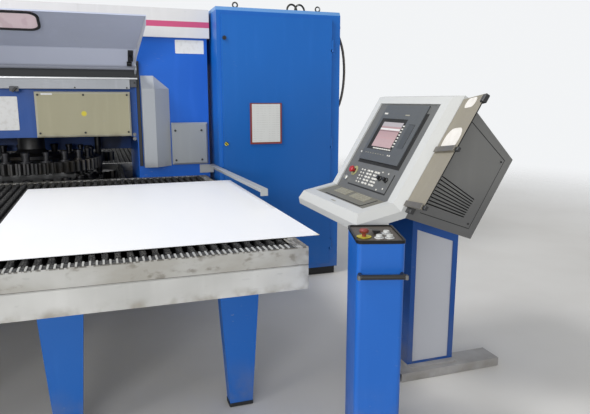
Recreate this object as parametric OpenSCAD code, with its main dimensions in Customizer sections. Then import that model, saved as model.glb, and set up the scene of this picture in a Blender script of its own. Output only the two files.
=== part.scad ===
// Turret punch press: a closed welded punching frame with two indexing turrets,
// brush tables in front and behind, a clamp carriage, a control cabinet,
// a sloping control console and a push-button pedestal.
// Origin: floor level, on the middle of the punching frame. +X runs along the frame
// towards the cabinet, +Y from the loading side to the rear, +Z up. Millimetres.

/* [Punching frame] */
// Width of the frame over both columns
frame_w = 3940; // [3800:10:4200]
// Height of the frame
frame_h = 2310; // [2250:10:2400]
// Depth of the frame from face to face
frame_d = 1200; // [1200:10:1300]
// Width of one column
column_w = 600; // [560:10:640]
// Thickness of the welded plates
plate_t = 40; // [30:1:50]
// Height of the lower beam, the floor of the throat
throat_floor = 700; // [680:5:705]
// Height of the roof of the throat
throat_roof = 1300; // [1295:5:1330]
// Radius of the welded corner gussets
gusset_r = 70; // [40:5:90]
// Height of the light cladding band
cladding_h = 230; // [200:5:240]
// Thickness of the cladding sheet package
cladding_t = 20; // [12:1:25]

/* [Turret] */
// Number of tool stations
stations = 20; // [16:1:20]
// Radius of the station circle
station_r = 490; // [480:1:495]
// Radius of a station bore
bore_r = 45; // [40:1:46]
// Thickness of the upper disc
upper_disc_t = 90; // [70:1:100]
// Thickness of the lower disc
lower_disc_t = 80; // [60:1:90]
// Height of the underside of the upper disc above the table
upper_disc_lift = 50; // [40:1:60]
// Drop from the table to the top of the lower disc
lower_disc_drop = 50; // [40:1:60]
// Teeth on each disc
gear_teeth = 60; // [60:2:66]
// Teeth on each pinion
pinion_teeth = 14; // [12:1:14]
// Tooth module
gear_module = 19; // [18.5:0.1:19]
// Radius of the turret journals
journal_r = 60; // [50:1:70]
// Radius of the drive shaft
drive_r = 30; // [25:1:35]
// Radius of the striker rod
ram_r = 45; // [35:1:50]
// Clear height between the striker and the tool heads
ram_gap = 40; // [39:1:50]

/* [Tables] */
// Height of the brush tips, where the sheet lies
table_plane = 950; // [940:1:960]
// Width of the tables
table_w = 3860; // [3800:10:3900]
// Length of one table
table_len = 2610; // [2500:10:2700]
// Depth of the edge rails
rail_h = 197; // [180:1:220]
// Height of the brushes over the deck
brush_h = 50; // [35:1:60]
// Distance between brush strips
brush_pitch = 52; // [44:1:60]
// Width of one brush strip
brush_w = 26; // [15:1:36]
// Distance between legs
leg_pitch = 850; // [820:5:870]
// Width of a leg at its top
leg_top_w = 220; // [200:1:240]
// Width of a leg at its foot
leg_foot_w = 122; // [100:1:140]
// Depth of a leg
leg_d = 80; // [60:1:100]
// Setback of the legs from the table ends
leg_setback = 390; // [350:5:450]
// Length of the blank that lies on the table
blank_len = 2000; // [1500:10:2050]
// Width of the blank
blank_w = 1500; // [1000:10:1500]
// Thickness of the blank
blank_t = 2; // [1:0.5:3]

/* [Coordinate drive] */
// Width of the travelling beam
beam_w = 160; // [120:5:180]
// Height of the travelling beam
beam_h = 120; // [100:5:120]
// Length of the clamp carriage
carriage_len = 900; // [800:10:1000]
// Distance between the two clamps
clamp_pitch = 600; // [400:10:640]

/* [Hood] */
// Width of the hood at its hinge
hood_w = 1754; // [1700:2:1760]
// Width of the hood at its free edge
hood_edge_w = 1870; // [1800:2:1880]
// Width of the window opening
window_w = 460; // [300:5:600]
// Height of the window opening
window_h = 215; // [150:5:230]
// Radius of the window corners
window_r = 60; // [20:5:70]

/* [Cabinet] */
// Width of the cabinet
cabinet_w = 1085; // [1070:5:1140]
// Depth of the cabinet
cabinet_d = 800; // [700:10:900]
// Rise of the cabinet roof above the cladding
cabinet_rise = 5; // [0:1:40]
// Width of the shell to the right of the door
door_border = 85; // [70:1:100]
// Height of the plinth
plinth_h = 70; // [50:5:100]
// Thickness of the cabinet sheet
cabinet_t = 5; // [4:1:8]
// Thickness of the folded door
door_t = 24.7; // [20:0.1:25]

/* [Console] */
// Width of the console's top face
console_w = 765; // [755:5:860]
// Depth of its white border frame
console_depth = 80; // [70:1:90]
// Width of the white border round the fascia
console_border = 62; // [50:1:75]
// Number of louvres in the side
louvres = 9; // [6:1:10]
// Width of the stand
stand_w = 305; // [300:5:330]
// Depth of the stand
stand_d = 280; // [240:5:300]

/* [Pedestal] */
// Height of the pedestal
pedestal_h = 1020; // [900:5:1100]
// Width of the pedestal
pedestal_w = 203; // [200:1:240]
// Depth of the pedestal
pedestal_l = 301; // [280:1:330]
// Radius of its upright edges
pedestal_r = 20; // [14:1:40]
// Travel gap under a push button
button_travel = 5; // [4:0.5:6]

/* [Hidden] */

// Clearances: seat is a still joint, run a turning or sliding one, gap a free one.
seat = 0.3;
run = 0.05;
gap = 0.5;
eps = 1;
$fn = 48;

blue = "#1f5fb0";
deep_blue = "#184a8c";
white = "#d9dcdc";
grey = "#8f9498";
dark = "#2a2c2e";
steel = "#9aa0a4";
beige = "#a8a68e";
rubber = "#17181a";
red = "#8f2a20";
yellow = "#d8cf3c";
glass = "#cfc3c8";

// Frame
open_w = frame_w - 2 * column_w;
face_y = -frame_d / 2;
top_z = frame_h + cladding_t;

// Turret
punch_x = 0;
turret_x = punch_x + station_r;
upper_z = table_plane + upper_disc_lift;
upper_top = upper_z + upper_disc_t;
lower_top = table_plane - lower_disc_drop;
lower_z = lower_top - lower_disc_t;
pitch_r = gear_module * gear_teeth / 2;
pinion_r = gear_module * pinion_teeth / 2;
tip_r = pitch_r + 0.8 * gear_module;
motor_w = 180;
motor_h = 120;
motor_side_gap = 37.2;
drive_y = frame_d / 2 - plate_t - motor_side_gap - motor_w / 2;
drive_angle = asin(drive_y / (pitch_r + pinion_r));
drive_x = turret_x + (pitch_r + pinion_r) * cos(drive_angle);
drive_boss_h = 60;
bush_r = 95;
bush_flange_r = 130;
bush_flange_t = 20;
hub_r = 110;
tool_head_z = upper_top + 85;
ram_rest_z = tool_head_z + ram_gap;
ram_barrel_r = 110;
ram_barrel_top = throat_roof + 450;
piston_r = 80;
piston_t = 50;
slug_chute_r = 60;
tool_r = 22;
tool_step = 4;
head_out = 6;
head_h = 25;
head_bevel = 4;
tool_flange = 7;
tool_flange_h = 12;
punch_r = 10;
punch_step = 5;
punch_len = 10;
punch_drop = 15;

// Tables
turret_clear = 14;
table_far = -max(frame_d / 2, tip_r + turret_clear);
table_near = table_far - table_len;
rail_w = 60;
rail_wall = 6;
rail_top = table_plane - 4;
rail_bottom = rail_top - rail_h;
deck_top = table_plane - brush_h;
deck_t = 6;
brush_base_t = 12;
leg_count = 5;
foot_t = 20;
bed_wall = 8;
throat_bed_left = 160;
blank_right = table_w / 2 + 120;
blank_near = table_near + 175;

// Coordinate drive
beam_x = -825;
beam_z = table_plane + 35;
guide_h = 20;
guide_w = 40;
guide_left = -1560;
guide_right = -120;
carriage_y = -1900;
carriage_t = 20;
beam_rail_h = 15;
clamp_len = 200;
clamp_w = 80;
jaw_w = 43;
jaw_pin_r = 8;
jaw_pin_x = 80;
jaw_pin_z = 45;
finger_t = 8;
jaw_lift = 14;

// Hood, hinged ahead of the front face
hood_x = turret_x;
hinge_y = face_y - 100;
hinge_z = 1843;
fold_y = -140;
fold_z = 137;
edge_y = -600;
edge_z = 327;
skin_t = 4;
hood_lip = 6;
cheek_d = 60;
hinge_tube_r = 14;
hinge_pin_r = 8;
bracket_t = 12;
ear_r = 22;
ear_low = 60;
ear_high = 50;
carrier_in = 43;
edge_slope = atan2(edge_z - fold_z, fold_y - edge_y);
window_margin = 22;
gasket_w = 14;
pane_lap = 8;
pane_t = 5;

// Covers on the front face
ledge_bottom = 1680;
ledge_h = 67;
ledge_d = 60;
ledge_lip = 23;
box_cover_left = 607;
box_cover_w = 714;
box_cover_top = 1657;
box_cover_d = 60;
box_cover_bevel = 12;
guard_bottom = 1040;
guard_top = 1790;
guard_left = open_w / 2 + 42;
guard_front_w = 102;
guard_side_w = 126;
guard_d = 100;
guard_drop = 106;
guard_t = 4;
column_cover_left = open_w / 2 + 277;
column_cover_w = 305;
column_cover_bottom = 1049;
column_cover_h = 355;
column_cover_d = 40;
side_rail_x = table_w / 2 + 25;
side_rail_w = 45;
side_rail_h = 42;
side_rail_z = 998;
side_rail_len = 1720;
side_rail_rise = 1.1;
side_rail_t = 4;
side_foot_in = 90;
side_foot_t = 8;
side_foot_low = 30;

// Cabinet
cabinet_x = frame_w / 2 + 40;
cabinet_y = -855;
cabinet_right = cabinet_x + cabinet_w;
cabinet_back = cabinet_y + cabinet_d;
cabinet_h = top_z + cabinet_rise;
roof_fold_h = 32;
roof_fold_d = 20;
door_gap = 0.3;
shell_y = cabinet_y + door_t + door_gap;
door_left = cabinet_x + 35;
door_right = cabinet_right - door_border;
door_bottom = plinth_h + 40;
door_top = cabinet_h - roof_fold_h - 33;
door_pin_x = door_right + 12;
door_pin_y = cabinet_y + 12;
door_pin_r = 6;
door_barrel_r = 10;
door_barrel_h = 80;
lug_h = 20;
lock_bore_r = 11;
lock_head_r = 16;
lock_head_h = 14;
cam_stand = 12;
cam_t = 4;
cam_len = 45;
upper_lock_z = door_top - 183;
lock_x = door_left + 22;
lower_lock_z = 1233;
door_wall = 4;
holder_x = door_left + 228;
holder_z = lower_lock_z - 8;
holder_w = 276;
holder_h = 343;
holder_d = 12;
conduit_r = 12;
conduit_y = -670;
elbow_r = 20;
elbow_out = 45;
elbow_z = cabinet_h - 45;
gland_len = 24;
gland_drop = 790;
gland_z = elbow_z - gland_drop;
elbow_drop = 75;
// Route of the conduit from the elbow to the gland, as [from the cabinet side, drop below the elbow]
conduit_route = [[elbow_out, elbow_drop], [48, 110], [58, 145], [72, 180], [86, 220], [98, 270],
  [107, 330], [112, 390], [114, 450], [112, 510], [107, 570], [98, 630], [86, 685], [70, 735],
  [52, 772], [37, 787], [gland_len, gland_drop]];
tie_y = -400;
tie_d = 150;
tie_h = 200;
tie_top = cabinet_h - 235;
plinth_in = 20;

// Switchgear on the plate at the cabinet's back
mount_margin = 60;
mount_t = 4;
mount_y = cabinet_back - 60;
mount_bottom = plinth_h + 100;
mount_top = cabinet_h - 132;
spacer_w = 30;
duct_h = 60;
duct_d = 60;
row_bottom = plinth_h + 230;
row_pitch = (mount_top - mount_bottom - 81) / 4;
device_w = 120;
device_pitch = 145;
device_h = 160;
device_d = 130;
device_step = 30;

// Hydraulic unit behind the cabinet
tank_x = cabinet_x + 70;
tank_y = cabinet_back + 115;
tank_w = 900;
tank_d = 600;
tank_foot_h = 60;
tank_foot_w = 80;
tank_top = 600;
tank_wall = 8;
lid_t = 20;
lid_out = 10;
pump_motor_r = 120;
pump_motor_len = 380;
pump_motor_z = tank_top + 140;
block_h = 140;
pipe_r = 16;
pipe_z = 700;

// Console side profile, as [x, z]
console_near = -3100;
console_far = console_near + console_w;
nose = [2222, 1055];
fold = [2411, 1095];
crown = [2717, 1608];
housing_low = [2871, 879];
housing_rear = [3104, 1285];
housing_top = [2852, 1546];
housing_wall = 3;
desk_dir = (fold - nose) / norm(fold - nose);
desk_out = [-desk_dir[1], desk_dir[0]];
fascia_dir = (crown - fold) / norm(crown - fold);
fascia_out = [-fascia_dir[1], fascia_dir[0]];
mitre = (desk_out + fascia_out) / (1 + desk_out * fascia_out);
desk_band = 55;
crown_band = 42;
rim_out = 31;
rim_fall = 42;
flange_out = 8;
fascia_depth = 8;
fascia_t = 6;
frame_wall = 4;
fascia_slope = atan2(fascia_dir[1], fascia_dir[0]);
screen_near = -2946;
screen_far = -2492;
screen_low = 190;
screen_high = 545;
screen_t = 7;
bezel_in = [70, 138, 28, 87];
glass_in = 17;
glass_side = 32;
base_h = 50;
base_plate_t = 10;
base_wall = 4;
stand_x = 2706;
stand_y = -2800;
stand_z = base_h + base_plate_t;
stand_wall = 6;
panel_recess = 8;
panel_side = 31;
panel_low = 10;
panel_drop = 54;
base_x = 2626;
base_len = 663;
base_beam_w = 150;
base_beam_out = 80;
base_foot_w = 70;
board_w = 234;
board_len = 594;
board_low = 14;
board_t = 5;
board_lift = 12.6;

// Pedestal
pedestal_x = 2195;
pedestal_y = -3338;
pedestal_turn = -16.8;
pedestal_wall = 5;
top_plate_t = 6;
top_plate_z = pedestal_h - 6;
stem_r = 9;
handle_span = 196;
handle_z = 875;
handle_r = 9;

module span(lo, hi) translate(lo) cube(hi - lo);

// A profile drawn as [y, z], extruded along X from x0 to x1.
module along_x(x0, x1) translate([x0, 0, 0]) rotate([90, 0, 90]) linear_extrude(x1 - x0) children();

// A profile drawn as [x, z], extruded along Y from y0 to y1.
module along_y(y0, y1) translate([0, y1, 0]) rotate([90, 0, 0]) linear_extrude(y1 - y0) children();

module rounded(w, h, r) {
  square([w - 2 * r, h], center = true);
  square([w, h - 2 * r], center = true);
  for (x = [-1, 1], y = [-1, 1]) translate([x * (w / 2 - r), y * (h / 2 - r)]) circle(r);
}

// Involute flank: distance t along the unwinding from base radius b.
function involute(b, t) = [b * (cos(t) + t * PI / 180 * sin(t)), b * (sin(t) - t * PI / 180 * cos(t))];
function involute_roll(b, r) = r <= b ? 0 : sqrt(r * r / b / b - 1) * 180 / PI;
function turned(p, a) = [p[0] * cos(a) - p[1] * sin(a), p[0] * sin(a) + p[1] * cos(a)];

// Outline of a stub gear with straight flanks below the base circle.
function gear_outline(teeth, m, phase, play) =
  let (pr = m * teeth / 2, b = pr * cos(25), root = pr - m, tip = pr + 0.8 * m,
       start = max(root, b),
       roll = involute_roll(b, pr),
       half = 90 / teeth - play / pr * 90 / PI,
       lean = atan2(involute(b, roll)[1], involute(b, roll)[0]),
       rolls = [for (i = [0:2]) involute_roll(b, start + (tip - start) * i / 2)],
       flank = concat(root < b ? [[root, 0]] : [], [for (t = rolls) involute(b, t)]),
       right = [for (p = flank) turned(p, -half - lean)],
       left = [for (i = [len(right) - 1:-1:0]) [right[i][0], -right[i][1]]])
  [for (k = [0:teeth - 1]) for (p = concat(right, left)) turned(p, phase + 360 * k / teeth)];

module side_columns() color(blue) for (side = [0, 1]) mirror([side, 0, 0]) difference() {
  span([-frame_w / 2, face_y, 0], [-open_w / 2, -face_y, frame_h]);
  span([-frame_w / 2 + plate_t, face_y + plate_t, -eps],
       [-open_w / 2 - plate_t, -face_y - plate_t, frame_h + eps]);
}

// Hollow girder between the columns, open at its ends where they close it.
module girder(z0, z1) difference() {
  span([-open_w / 2, face_y, z0], [open_w / 2, -face_y, z1]);
  span([-open_w / 2 - eps, face_y + plate_t, z0 + plate_t],
       [open_w / 2 + eps, -face_y - plate_t, z1 - plate_t]);
}

module upper_beam() color(blue) difference() {
  girder(throat_roof, frame_h);
  for (hole = [[turret_x, 0, bush_r + seat], [punch_x, 0, ram_nose_r + seat], [drive_x, drive_y, drive_r + 10]])
    translate([hole[0], hole[1], throat_roof - eps]) cylinder(r = hole[2], h = plate_t + 2 * eps);
}

module lower_beam() color(deep_blue) difference() {
  union() {
    girder(0, throat_floor);
    translate([drive_x, drive_y, throat_floor - eps]) cylinder(r = 2 * drive_r, h = drive_boss_h + eps);
  }
  translate([turret_x, 0, throat_floor - plate_t - eps]) cylinder(r = bush_r + seat, h = plate_t + 2 * eps);
  translate([punch_x, 0, throat_floor - plate_t - eps]) cylinder(r = slug_chute_r, h = plate_t + 2 * eps);
  translate([drive_x, drive_y, throat_floor + eps]) cylinder(r = drive_r + run, h = drive_boss_h);
}

module gusset() difference() {
  square(gusset_r);
  translate([gusset_r, gusset_r]) circle(gusset_r);
}

module corner_gussets() color(blue) along_y(face_y, -face_y)
  for (side = [0, 1], up = [0, 1]) mirror([side, 0])
    translate([-open_w / 2, up ? throat_roof : throat_floor]) mirror([0, up]) gusset();

// Pressed cap over the top of the frame, in three lengths with open seams.
module top_cladding() color(white) difference() {
  span([-frame_w / 2 - cladding_t, face_y - cladding_t, top_z - cladding_h],
       [frame_w / 2 + cladding_t, -face_y + cladding_t, top_z]);
  span([-frame_w / 2, face_y, top_z - cladding_h - eps], [frame_w / 2, -face_y, frame_h]);
  for (x = [-1, 1]) span([x * frame_w / 4 - 15 - 2, face_y - cladding_t - eps, top_z - cladding_h - eps],
                         [x * frame_w / 4 - 15 + 2, face_y - cladding_t + 3, top_z + eps]);
}

// Folded ledge under the hood, with the two ears that carry the hood pins.
module hood_carrier() color(grey) {
  along_x(hood_x - hood_w / 2 + carrier_in, hood_x + hood_w / 2 - carrier_in) translate([face_y, ledge_bottom]) polygon([
    [0, 0], [-ledge_d, 0], [-ledge_d, ledge_h + ledge_lip], [-ledge_d + skin_t, ledge_h + ledge_lip],
    [-ledge_d + skin_t, ledge_h], [0, ledge_h], [0, ledge_h - skin_t],
    [-ledge_d + skin_t, ledge_h - skin_t], [-ledge_d + skin_t, skin_t], [0, skin_t]]);
  for (side = [-1, 1]) difference() {
    along_x(hood_x + side * (hood_w / 2 + gap + bracket_t / 2) - bracket_t / 2,
            hood_x + side * (hood_w / 2 + gap + bracket_t / 2) + bracket_t / 2) {
      polygon([[face_y, hinge_z - ear_low], [hinge_y, hinge_z - ear_r], [hinge_y, hinge_z + ear_r], [face_y, hinge_z + ear_high]]);
      translate([hinge_y, hinge_z]) circle(ear_r);
    }
    translate([hood_x + side * (hood_w / 2), hinge_y, hinge_z]) rotate([0, 90, 0])
      cylinder(r = hinge_pin_r + run, h = 4 * bracket_t, center = true);
  }
}

// Cover with bevelled edges: full size at its back, smaller at its front, open behind.
module bevelled_cover(w, h, d, bevel, wall) difference() {
  hull() {
    span([0, -d + bevel, 0], [w, 0, h]);
    span([bevel, -d, bevel], [w - bevel, 0, h - bevel]);
  }
  span([wall, -d + bevel + wall, wall], [w - wall, eps, h - wall]);
}

module terminal_box_cover() color(beige) translate([box_cover_left, face_y, throat_roof + 2])
  bevelled_cover(box_cover_w, box_cover_top - throat_roof - 2, box_cover_d, box_cover_bevel, 4);

module column_cover() color(grey) translate([column_cover_left, face_y, column_cover_bottom])
  bevelled_cover(column_cover_w, column_cover_h, column_cover_d, 14, 4);

// Tall folded guard beside the throat, with a flat and a slanted face and a cap that leans back to the frame.
module guard_body(inset) let (back = face_y + (inset > 0 ? eps : 0), low = guard_bottom - (inset > 0 ? eps : 0)) hull() {
  translate([0, 0, low]) linear_extrude(guard_top - guard_drop - inset / 2 - low) polygon([
    [guard_left + inset, back], [guard_left + inset, face_y - guard_d + inset],
    [guard_left + guard_front_w - inset / 2, face_y - guard_d + inset],
    [guard_left + guard_front_w + guard_side_w - 2 * inset, back]]);
  span([guard_left + inset, face_y - guard_t + inset, guard_bottom], [guard_left + guard_front_w - inset, back, guard_top - 2 * inset]);
}

module throat_guard() color(grey) difference() {
  guard_body(0);
  guard_body(guard_t);
}

module turret_bearings() color(steel)
  for (z = [throat_roof, throat_floor - plate_t]) translate([turret_x, 0, z])
    rotate_extrude() polygon([[journal_r + run, 0], [bush_r, 0], [bush_r, plate_t], [bush_flange_r, plate_t],
      [bush_flange_r, plate_t + bush_flange_t], [journal_r + run, plate_t + bush_flange_t]]);

module turret_motor() color(steel) translate([drive_x, drive_y, throat_roof + plate_t]) difference() {
  union() {
    translate([-motor_w / 2, -motor_w / 2, 0]) cube([motor_w, motor_w, motor_h]);
    translate([0, 0, motor_h]) cylinder(r = 75, h = 230);
    for (i = [0:11]) rotate(i * 30) translate([70, -3, motor_h + 10]) cube([14, 6, 200]);
    translate([0, 0, motor_h + 230]) cylinder(r1 = 75, r2 = 55, h = 30);
  }
  translate([0, 0, -eps]) cylinder(r = drive_r + run, h = 61 + eps);
}

// Hydraulic barrel above the punching station.
ram_nose_r = 70;
ram_nose_z = throat_roof - 30;
module ram_cylinder() color(steel) translate([punch_x, 0, 0]) rotate_extrude() polygon([
  [ram_r + run, ram_nose_z], [ram_nose_r, ram_nose_z], [ram_nose_r, throat_roof + plate_t],
  [ram_barrel_r + 40, throat_roof + plate_t], [ram_barrel_r + 40, throat_roof + plate_t + 25],
  [ram_barrel_r, throat_roof + plate_t + 25], [ram_barrel_r, ram_barrel_top + 20], [0, ram_barrel_top + 20],
  [0, ram_barrel_top], [piston_r + seat, ram_barrel_top], [piston_r + seat, throat_roof + 100],
  [ram_r + run, throat_roof + 100]]);

module ram() color("#b8bcc0") translate([punch_x, 0, 0]) rotate_extrude() polygon([
  [0, ram_rest_z], [ram_r - 6, ram_rest_z], [ram_r, ram_rest_z + 6], [ram_r, ram_barrel_top - 20 - piston_t],
  [piston_r, ram_barrel_top - 20 - piston_t], [piston_r, ram_barrel_top - 20], [0, ram_barrel_top - 20]]);

module turret_disc(t) linear_extrude(t) difference() {
  polygon(gear_outline(gear_teeth, gear_module, drive_angle, 1.5));
  for (i = [0:stations - 1]) rotate(180 + i * 360 / stations) translate([station_r, 0]) circle(bore_r);
}

module upper_turret() color(steel) translate([turret_x, 0, 0]) {
  translate([0, 0, upper_z]) turret_disc(upper_disc_t);
  rotate_extrude() polygon([[0, upper_top - eps], [260, upper_top - eps], [250, upper_top + 25],
    [hub_r + 30, upper_top + 45], [hub_r, upper_top + 80], [hub_r, throat_roof - 15],
    [journal_r, throat_roof - 15], [journal_r, throat_roof + plate_t + bush_flange_t + seat],
    [journal_r + 25, throat_roof + plate_t + bush_flange_t + seat],
    [journal_r + 25, throat_roof + plate_t + bush_flange_t + 26],
    [0, throat_roof + plate_t + bush_flange_t + 26]]);
}

module lower_turret() color(steel) translate([turret_x, 0, 0]) {
  translate([0, 0, lower_z]) turret_disc(lower_disc_t);
  rotate_extrude() polygon([[0, lower_z + eps], [260, lower_z + eps], [hub_r + 30, lower_z - 40],
    [hub_r, lower_z - 55], [hub_r, throat_floor + bush_flange_t + seat],
    [journal_r, throat_floor + bush_flange_t + seat], [journal_r, throat_floor - plate_t - seat],
    [journal_r + 25, throat_floor - plate_t - seat], [journal_r + 25, throat_floor - plate_t - 26],
    [0, throat_floor - plate_t - 26]]);
}

// The stations hold three sizes of tool in turn.
module each_station() translate([turret_x, 0, 0])
  for (i = [0:stations - 1]) rotate(180 + i * 360 / stations) translate([station_r, 0, 0]) {
    $size = i % 3;
    children();
  }

module punch_tools() color("#6f7478") each_station() rotate_extrude() polygon([
  [0, upper_z - punch_drop], [punch_r + punch_step * $size, upper_z - punch_drop],
  [punch_r + punch_step * $size, upper_z - punch_drop + punch_len], [bore_r - seat, upper_z],
  [bore_r - seat, upper_top], [bore_r + tool_flange, upper_top], [bore_r + tool_flange, upper_top + tool_flange_h],
  [tool_r + tool_step * $size, upper_top + tool_flange_h], [tool_r + tool_step * $size, tool_head_z - head_h],
  [tool_r + head_out + tool_step * $size, tool_head_z - head_h],
  [tool_r + head_out + tool_step * $size, tool_head_z - head_bevel],
  [tool_r + head_out - head_bevel + tool_step * $size, tool_head_z], [0, tool_head_z]]);

module die_set() color("#6f7478") each_station() rotate_extrude() polygon([
  [11 + 5 * $size, lower_top - 20], [bore_r - seat, lower_top - 20], [bore_r - seat, lower_top],
  [bore_r + 15, lower_top], [bore_r + 15, lower_top + 22], [bore_r - 5, lower_top + 26],
  [bore_r - 5, table_plane - 4], [11 + 5 * $size, table_plane - 4]]);

module drive_shaft() color("#8a8f94") translate([drive_x, drive_y, 0]) {
  translate([0, 0, throat_floor + eps + seat]) cylinder(r = drive_r, h = throat_roof + plate_t + 60 - throat_floor - 2);
  for (g = [[upper_z, upper_disc_t], [lower_z, lower_disc_t]]) translate([0, 0, g[0] + 2])
    linear_extrude(g[1] - 4) polygon(gear_outline(pinion_teeth, gear_module,
      drive_angle + 180 + 180 / pinion_teeth, 1.5));
}

// Hood: sheet folded once, end cheeks that flare beyond the ears, a hinge tube with stub pins and a window opening.
hood_stock = norm([edge_y, edge_z]);
module hood_side(half0, half1, z0, z1) translate([0, 0, z0]) linear_extrude(z1 - z0) for (side = [0, 1]) mirror([side, 0])
  polygon([[0, 40], [half0, 40], [half0, -ear_r - 6], [half1, edge_y], [half1, edge_y - 40], [0, edge_y - 40]]);

module on_window() translate([0, (fold_y + edge_y) / 2, (fold_z + edge_z) / 2])
  rotate([-edge_slope, 0, 0])
  translate([0, -norm([edge_y - fold_y, edge_z - fold_z]) / 2 + window_margin + window_h / 2, 0]) children();

module at_hood() translate([hood_x, hinge_y, hinge_z]) children();

module hood_shell() color("#c4c2cf") at_hood() difference() {
  union() {
    difference() {
      hood_side(hood_w / 2, hood_edge_w / 2, -hood_stock, hood_stock);
      along_x(-hood_w, hood_w) difference() {
        translate([-2 * hood_stock, -2 * hood_stock]) square(4 * hood_stock);
        polygon([[6, 8], [fold_y, fold_z + skin_t], [edge_y, edge_z + skin_t], [edge_y - 4, edge_z - hood_lip],
          [edge_y + 12, edge_z - cheek_d], [fold_y - 6, fold_z - cheek_d], [-12, -10]]);
      }
      difference() {
        hood_side(hood_w / 2 - skin_t, hood_edge_w / 2 - skin_t, eps - hood_stock, hood_stock - eps);
        along_x(-hood_w, hood_w) polygon([[20, -12], [0, 0], [fold_y, fold_z], [edge_y, edge_z], [edge_y, edge_z - hood_lip],
          [edge_y - 20, edge_z - hood_lip], [edge_y - 20, hood_stock], [20, hood_stock]]);
      }
    }
    along_x(-hood_w / 2, hood_w / 2) circle(hinge_tube_r);
    along_x(-hood_w / 2 - gap - bracket_t, hood_w / 2 + gap + bracket_t) circle(hinge_pin_r);
  }
  on_window() translate([0, 0, -60]) linear_extrude(120) rounded(window_w, window_h, window_r);
}

module hood_window() color(glass) at_hood() on_window() translate([0, 0, -pane_t]) linear_extrude(pane_t)
  rounded(window_w + 2 * pane_lap, window_h + 2 * pane_lap, window_r + pane_lap);

module hood_gasket() color(rubber) at_hood() on_window() translate([0, 0, -pane_t - 8]) linear_extrude(8)
  difference() {
    rounded(window_w + 2 * gasket_w, window_h + 2 * gasket_w, window_r + gasket_w);
    rounded(window_w - 8, window_h - 8, window_r - 4);
  }

// One table: channel rails all round, joists over the legs and a deck under the brushes.
module rail_profile() polygon([
  [0, 0], [0, rail_h - 88], [3, rail_h - 87], [3, rail_h - 84], [0, rail_h - 83], [0, rail_h],
  [rail_w, rail_h], [rail_w, rail_h - rail_wall], [rail_wall, rail_h - rail_wall], [rail_wall, rail_wall],
  [rail_w, rail_wall], [rail_w, 0]]);

leg_rows = [table_near + leg_setback, table_far - leg_setback - leg_d];
module table_frame() {
  translate([0, table_near, rail_bottom]) along_x(-table_w / 2, table_w / 2) rail_profile();
  translate([0, table_far, rail_bottom]) mirror([0, 1, 0]) along_x(-table_w / 2, table_w / 2) rail_profile();
  for (side = [0, 1]) mirror([side, 0, 0]) translate([-table_w / 2, 0, rail_bottom])
    along_y(table_near + eps, table_far - eps) rail_profile();
  span([-table_w / 2 + rail_wall, table_near + rail_wall, deck_top - deck_t],
       [table_w / 2 - rail_wall, table_far - rail_wall, deck_top]);
  for (y = leg_rows) difference() {
    span([-table_w / 2 + rail_wall, y, rail_bottom], [table_w / 2 - rail_wall, y + leg_d, deck_top - deck_t]);
    span([-table_w / 2 + rail_wall - eps, y + rail_wall, rail_bottom + rail_wall],
         [table_w / 2 - rail_wall + eps, y + leg_d - rail_wall, deck_top - deck_t - rail_wall]);
  }
  span([guide_left, table_near + rail_w / 2 - guide_w / 2, rail_top - eps],
       [guide_right, table_near + rail_w / 2 + guide_w / 2, rail_top + guide_h]);
}

module table_frames() color(white) {
  table_frame();
  mirror([0, 1, 0]) table_frame();
}

module leg() difference() {
  linear_extrude(leg_d) polygon([[-leg_foot_w / 2, foot_t], [leg_foot_w / 2, foot_t],
    [leg_top_w / 2, rail_bottom], [-leg_top_w / 2, rail_bottom]]);
  translate([0, 0, -eps]) linear_extrude(leg_d - rail_wall + eps) polygon([
    [-leg_foot_w / 2 + rail_wall, foot_t + rail_wall], [leg_foot_w / 2 - rail_wall, foot_t + rail_wall],
    [leg_top_w / 2 - rail_wall, rail_bottom - rail_wall], [-leg_top_w / 2 + rail_wall, rail_bottom - rail_wall]]);
}

module each_leg() for (back = [0, 1]) mirror([0, back, 0])
  for (i = [0:leg_count - 1], y = leg_rows) translate([(i - (leg_count - 1) / 2) * leg_pitch, y, 0]) children();

module table_legs() color(blue) each_leg() translate([0, leg_d, 0]) rotate([90, 0, 0]) leg();

module leg_feet() color(rubber) each_leg() translate([0, leg_d / 2, 0])
  linear_extrude(foot_t) rounded(leg_foot_w + 6, leg_d + 6, 8);

// A comb of brush strips on a base plate; the strips run along Y.
module brush_field(x0, x1, y0, y1, z0) {
  count = floor((x1 - x0 - brush_w) / brush_pitch);
  first = x0 + (x1 - x0 - brush_w - count * brush_pitch) / 2;
  span([x0, y0, z0], [x1, y1, z0 + brush_base_t]);
  for (i = [0:count]) span([first + i * brush_pitch, y0, z0 + brush_base_t - eps],
                           [first + i * brush_pitch + brush_w, y1, table_plane]);
}

// Short beds in the throat stand on their own side plates.
module throat_bed(x0, x1) {
  brush_field(x0, x1, face_y + 30, -face_y - 30, deck_top);
  for (x = [x0, x1 - bed_wall]) span([x, face_y + 30, throat_floor], [x + bed_wall, -face_y - 30, deck_top + eps]);
}

module brush_beds() color(rubber) {
  for (back = [0, 1]) mirror([0, back, 0])
    brush_field(-table_w / 2 + rail_w + seat, table_w / 2 - rail_w - seat,
                table_near + rail_w + seat, table_far - rail_w - seat, deck_top);
  throat_bed(-open_w / 2 + gusset_r + 5, -throat_bed_left);
  throat_bed(drive_x + pinion_r + gear_module + 15, open_w / 2 - gusset_r - 5);
}

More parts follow.
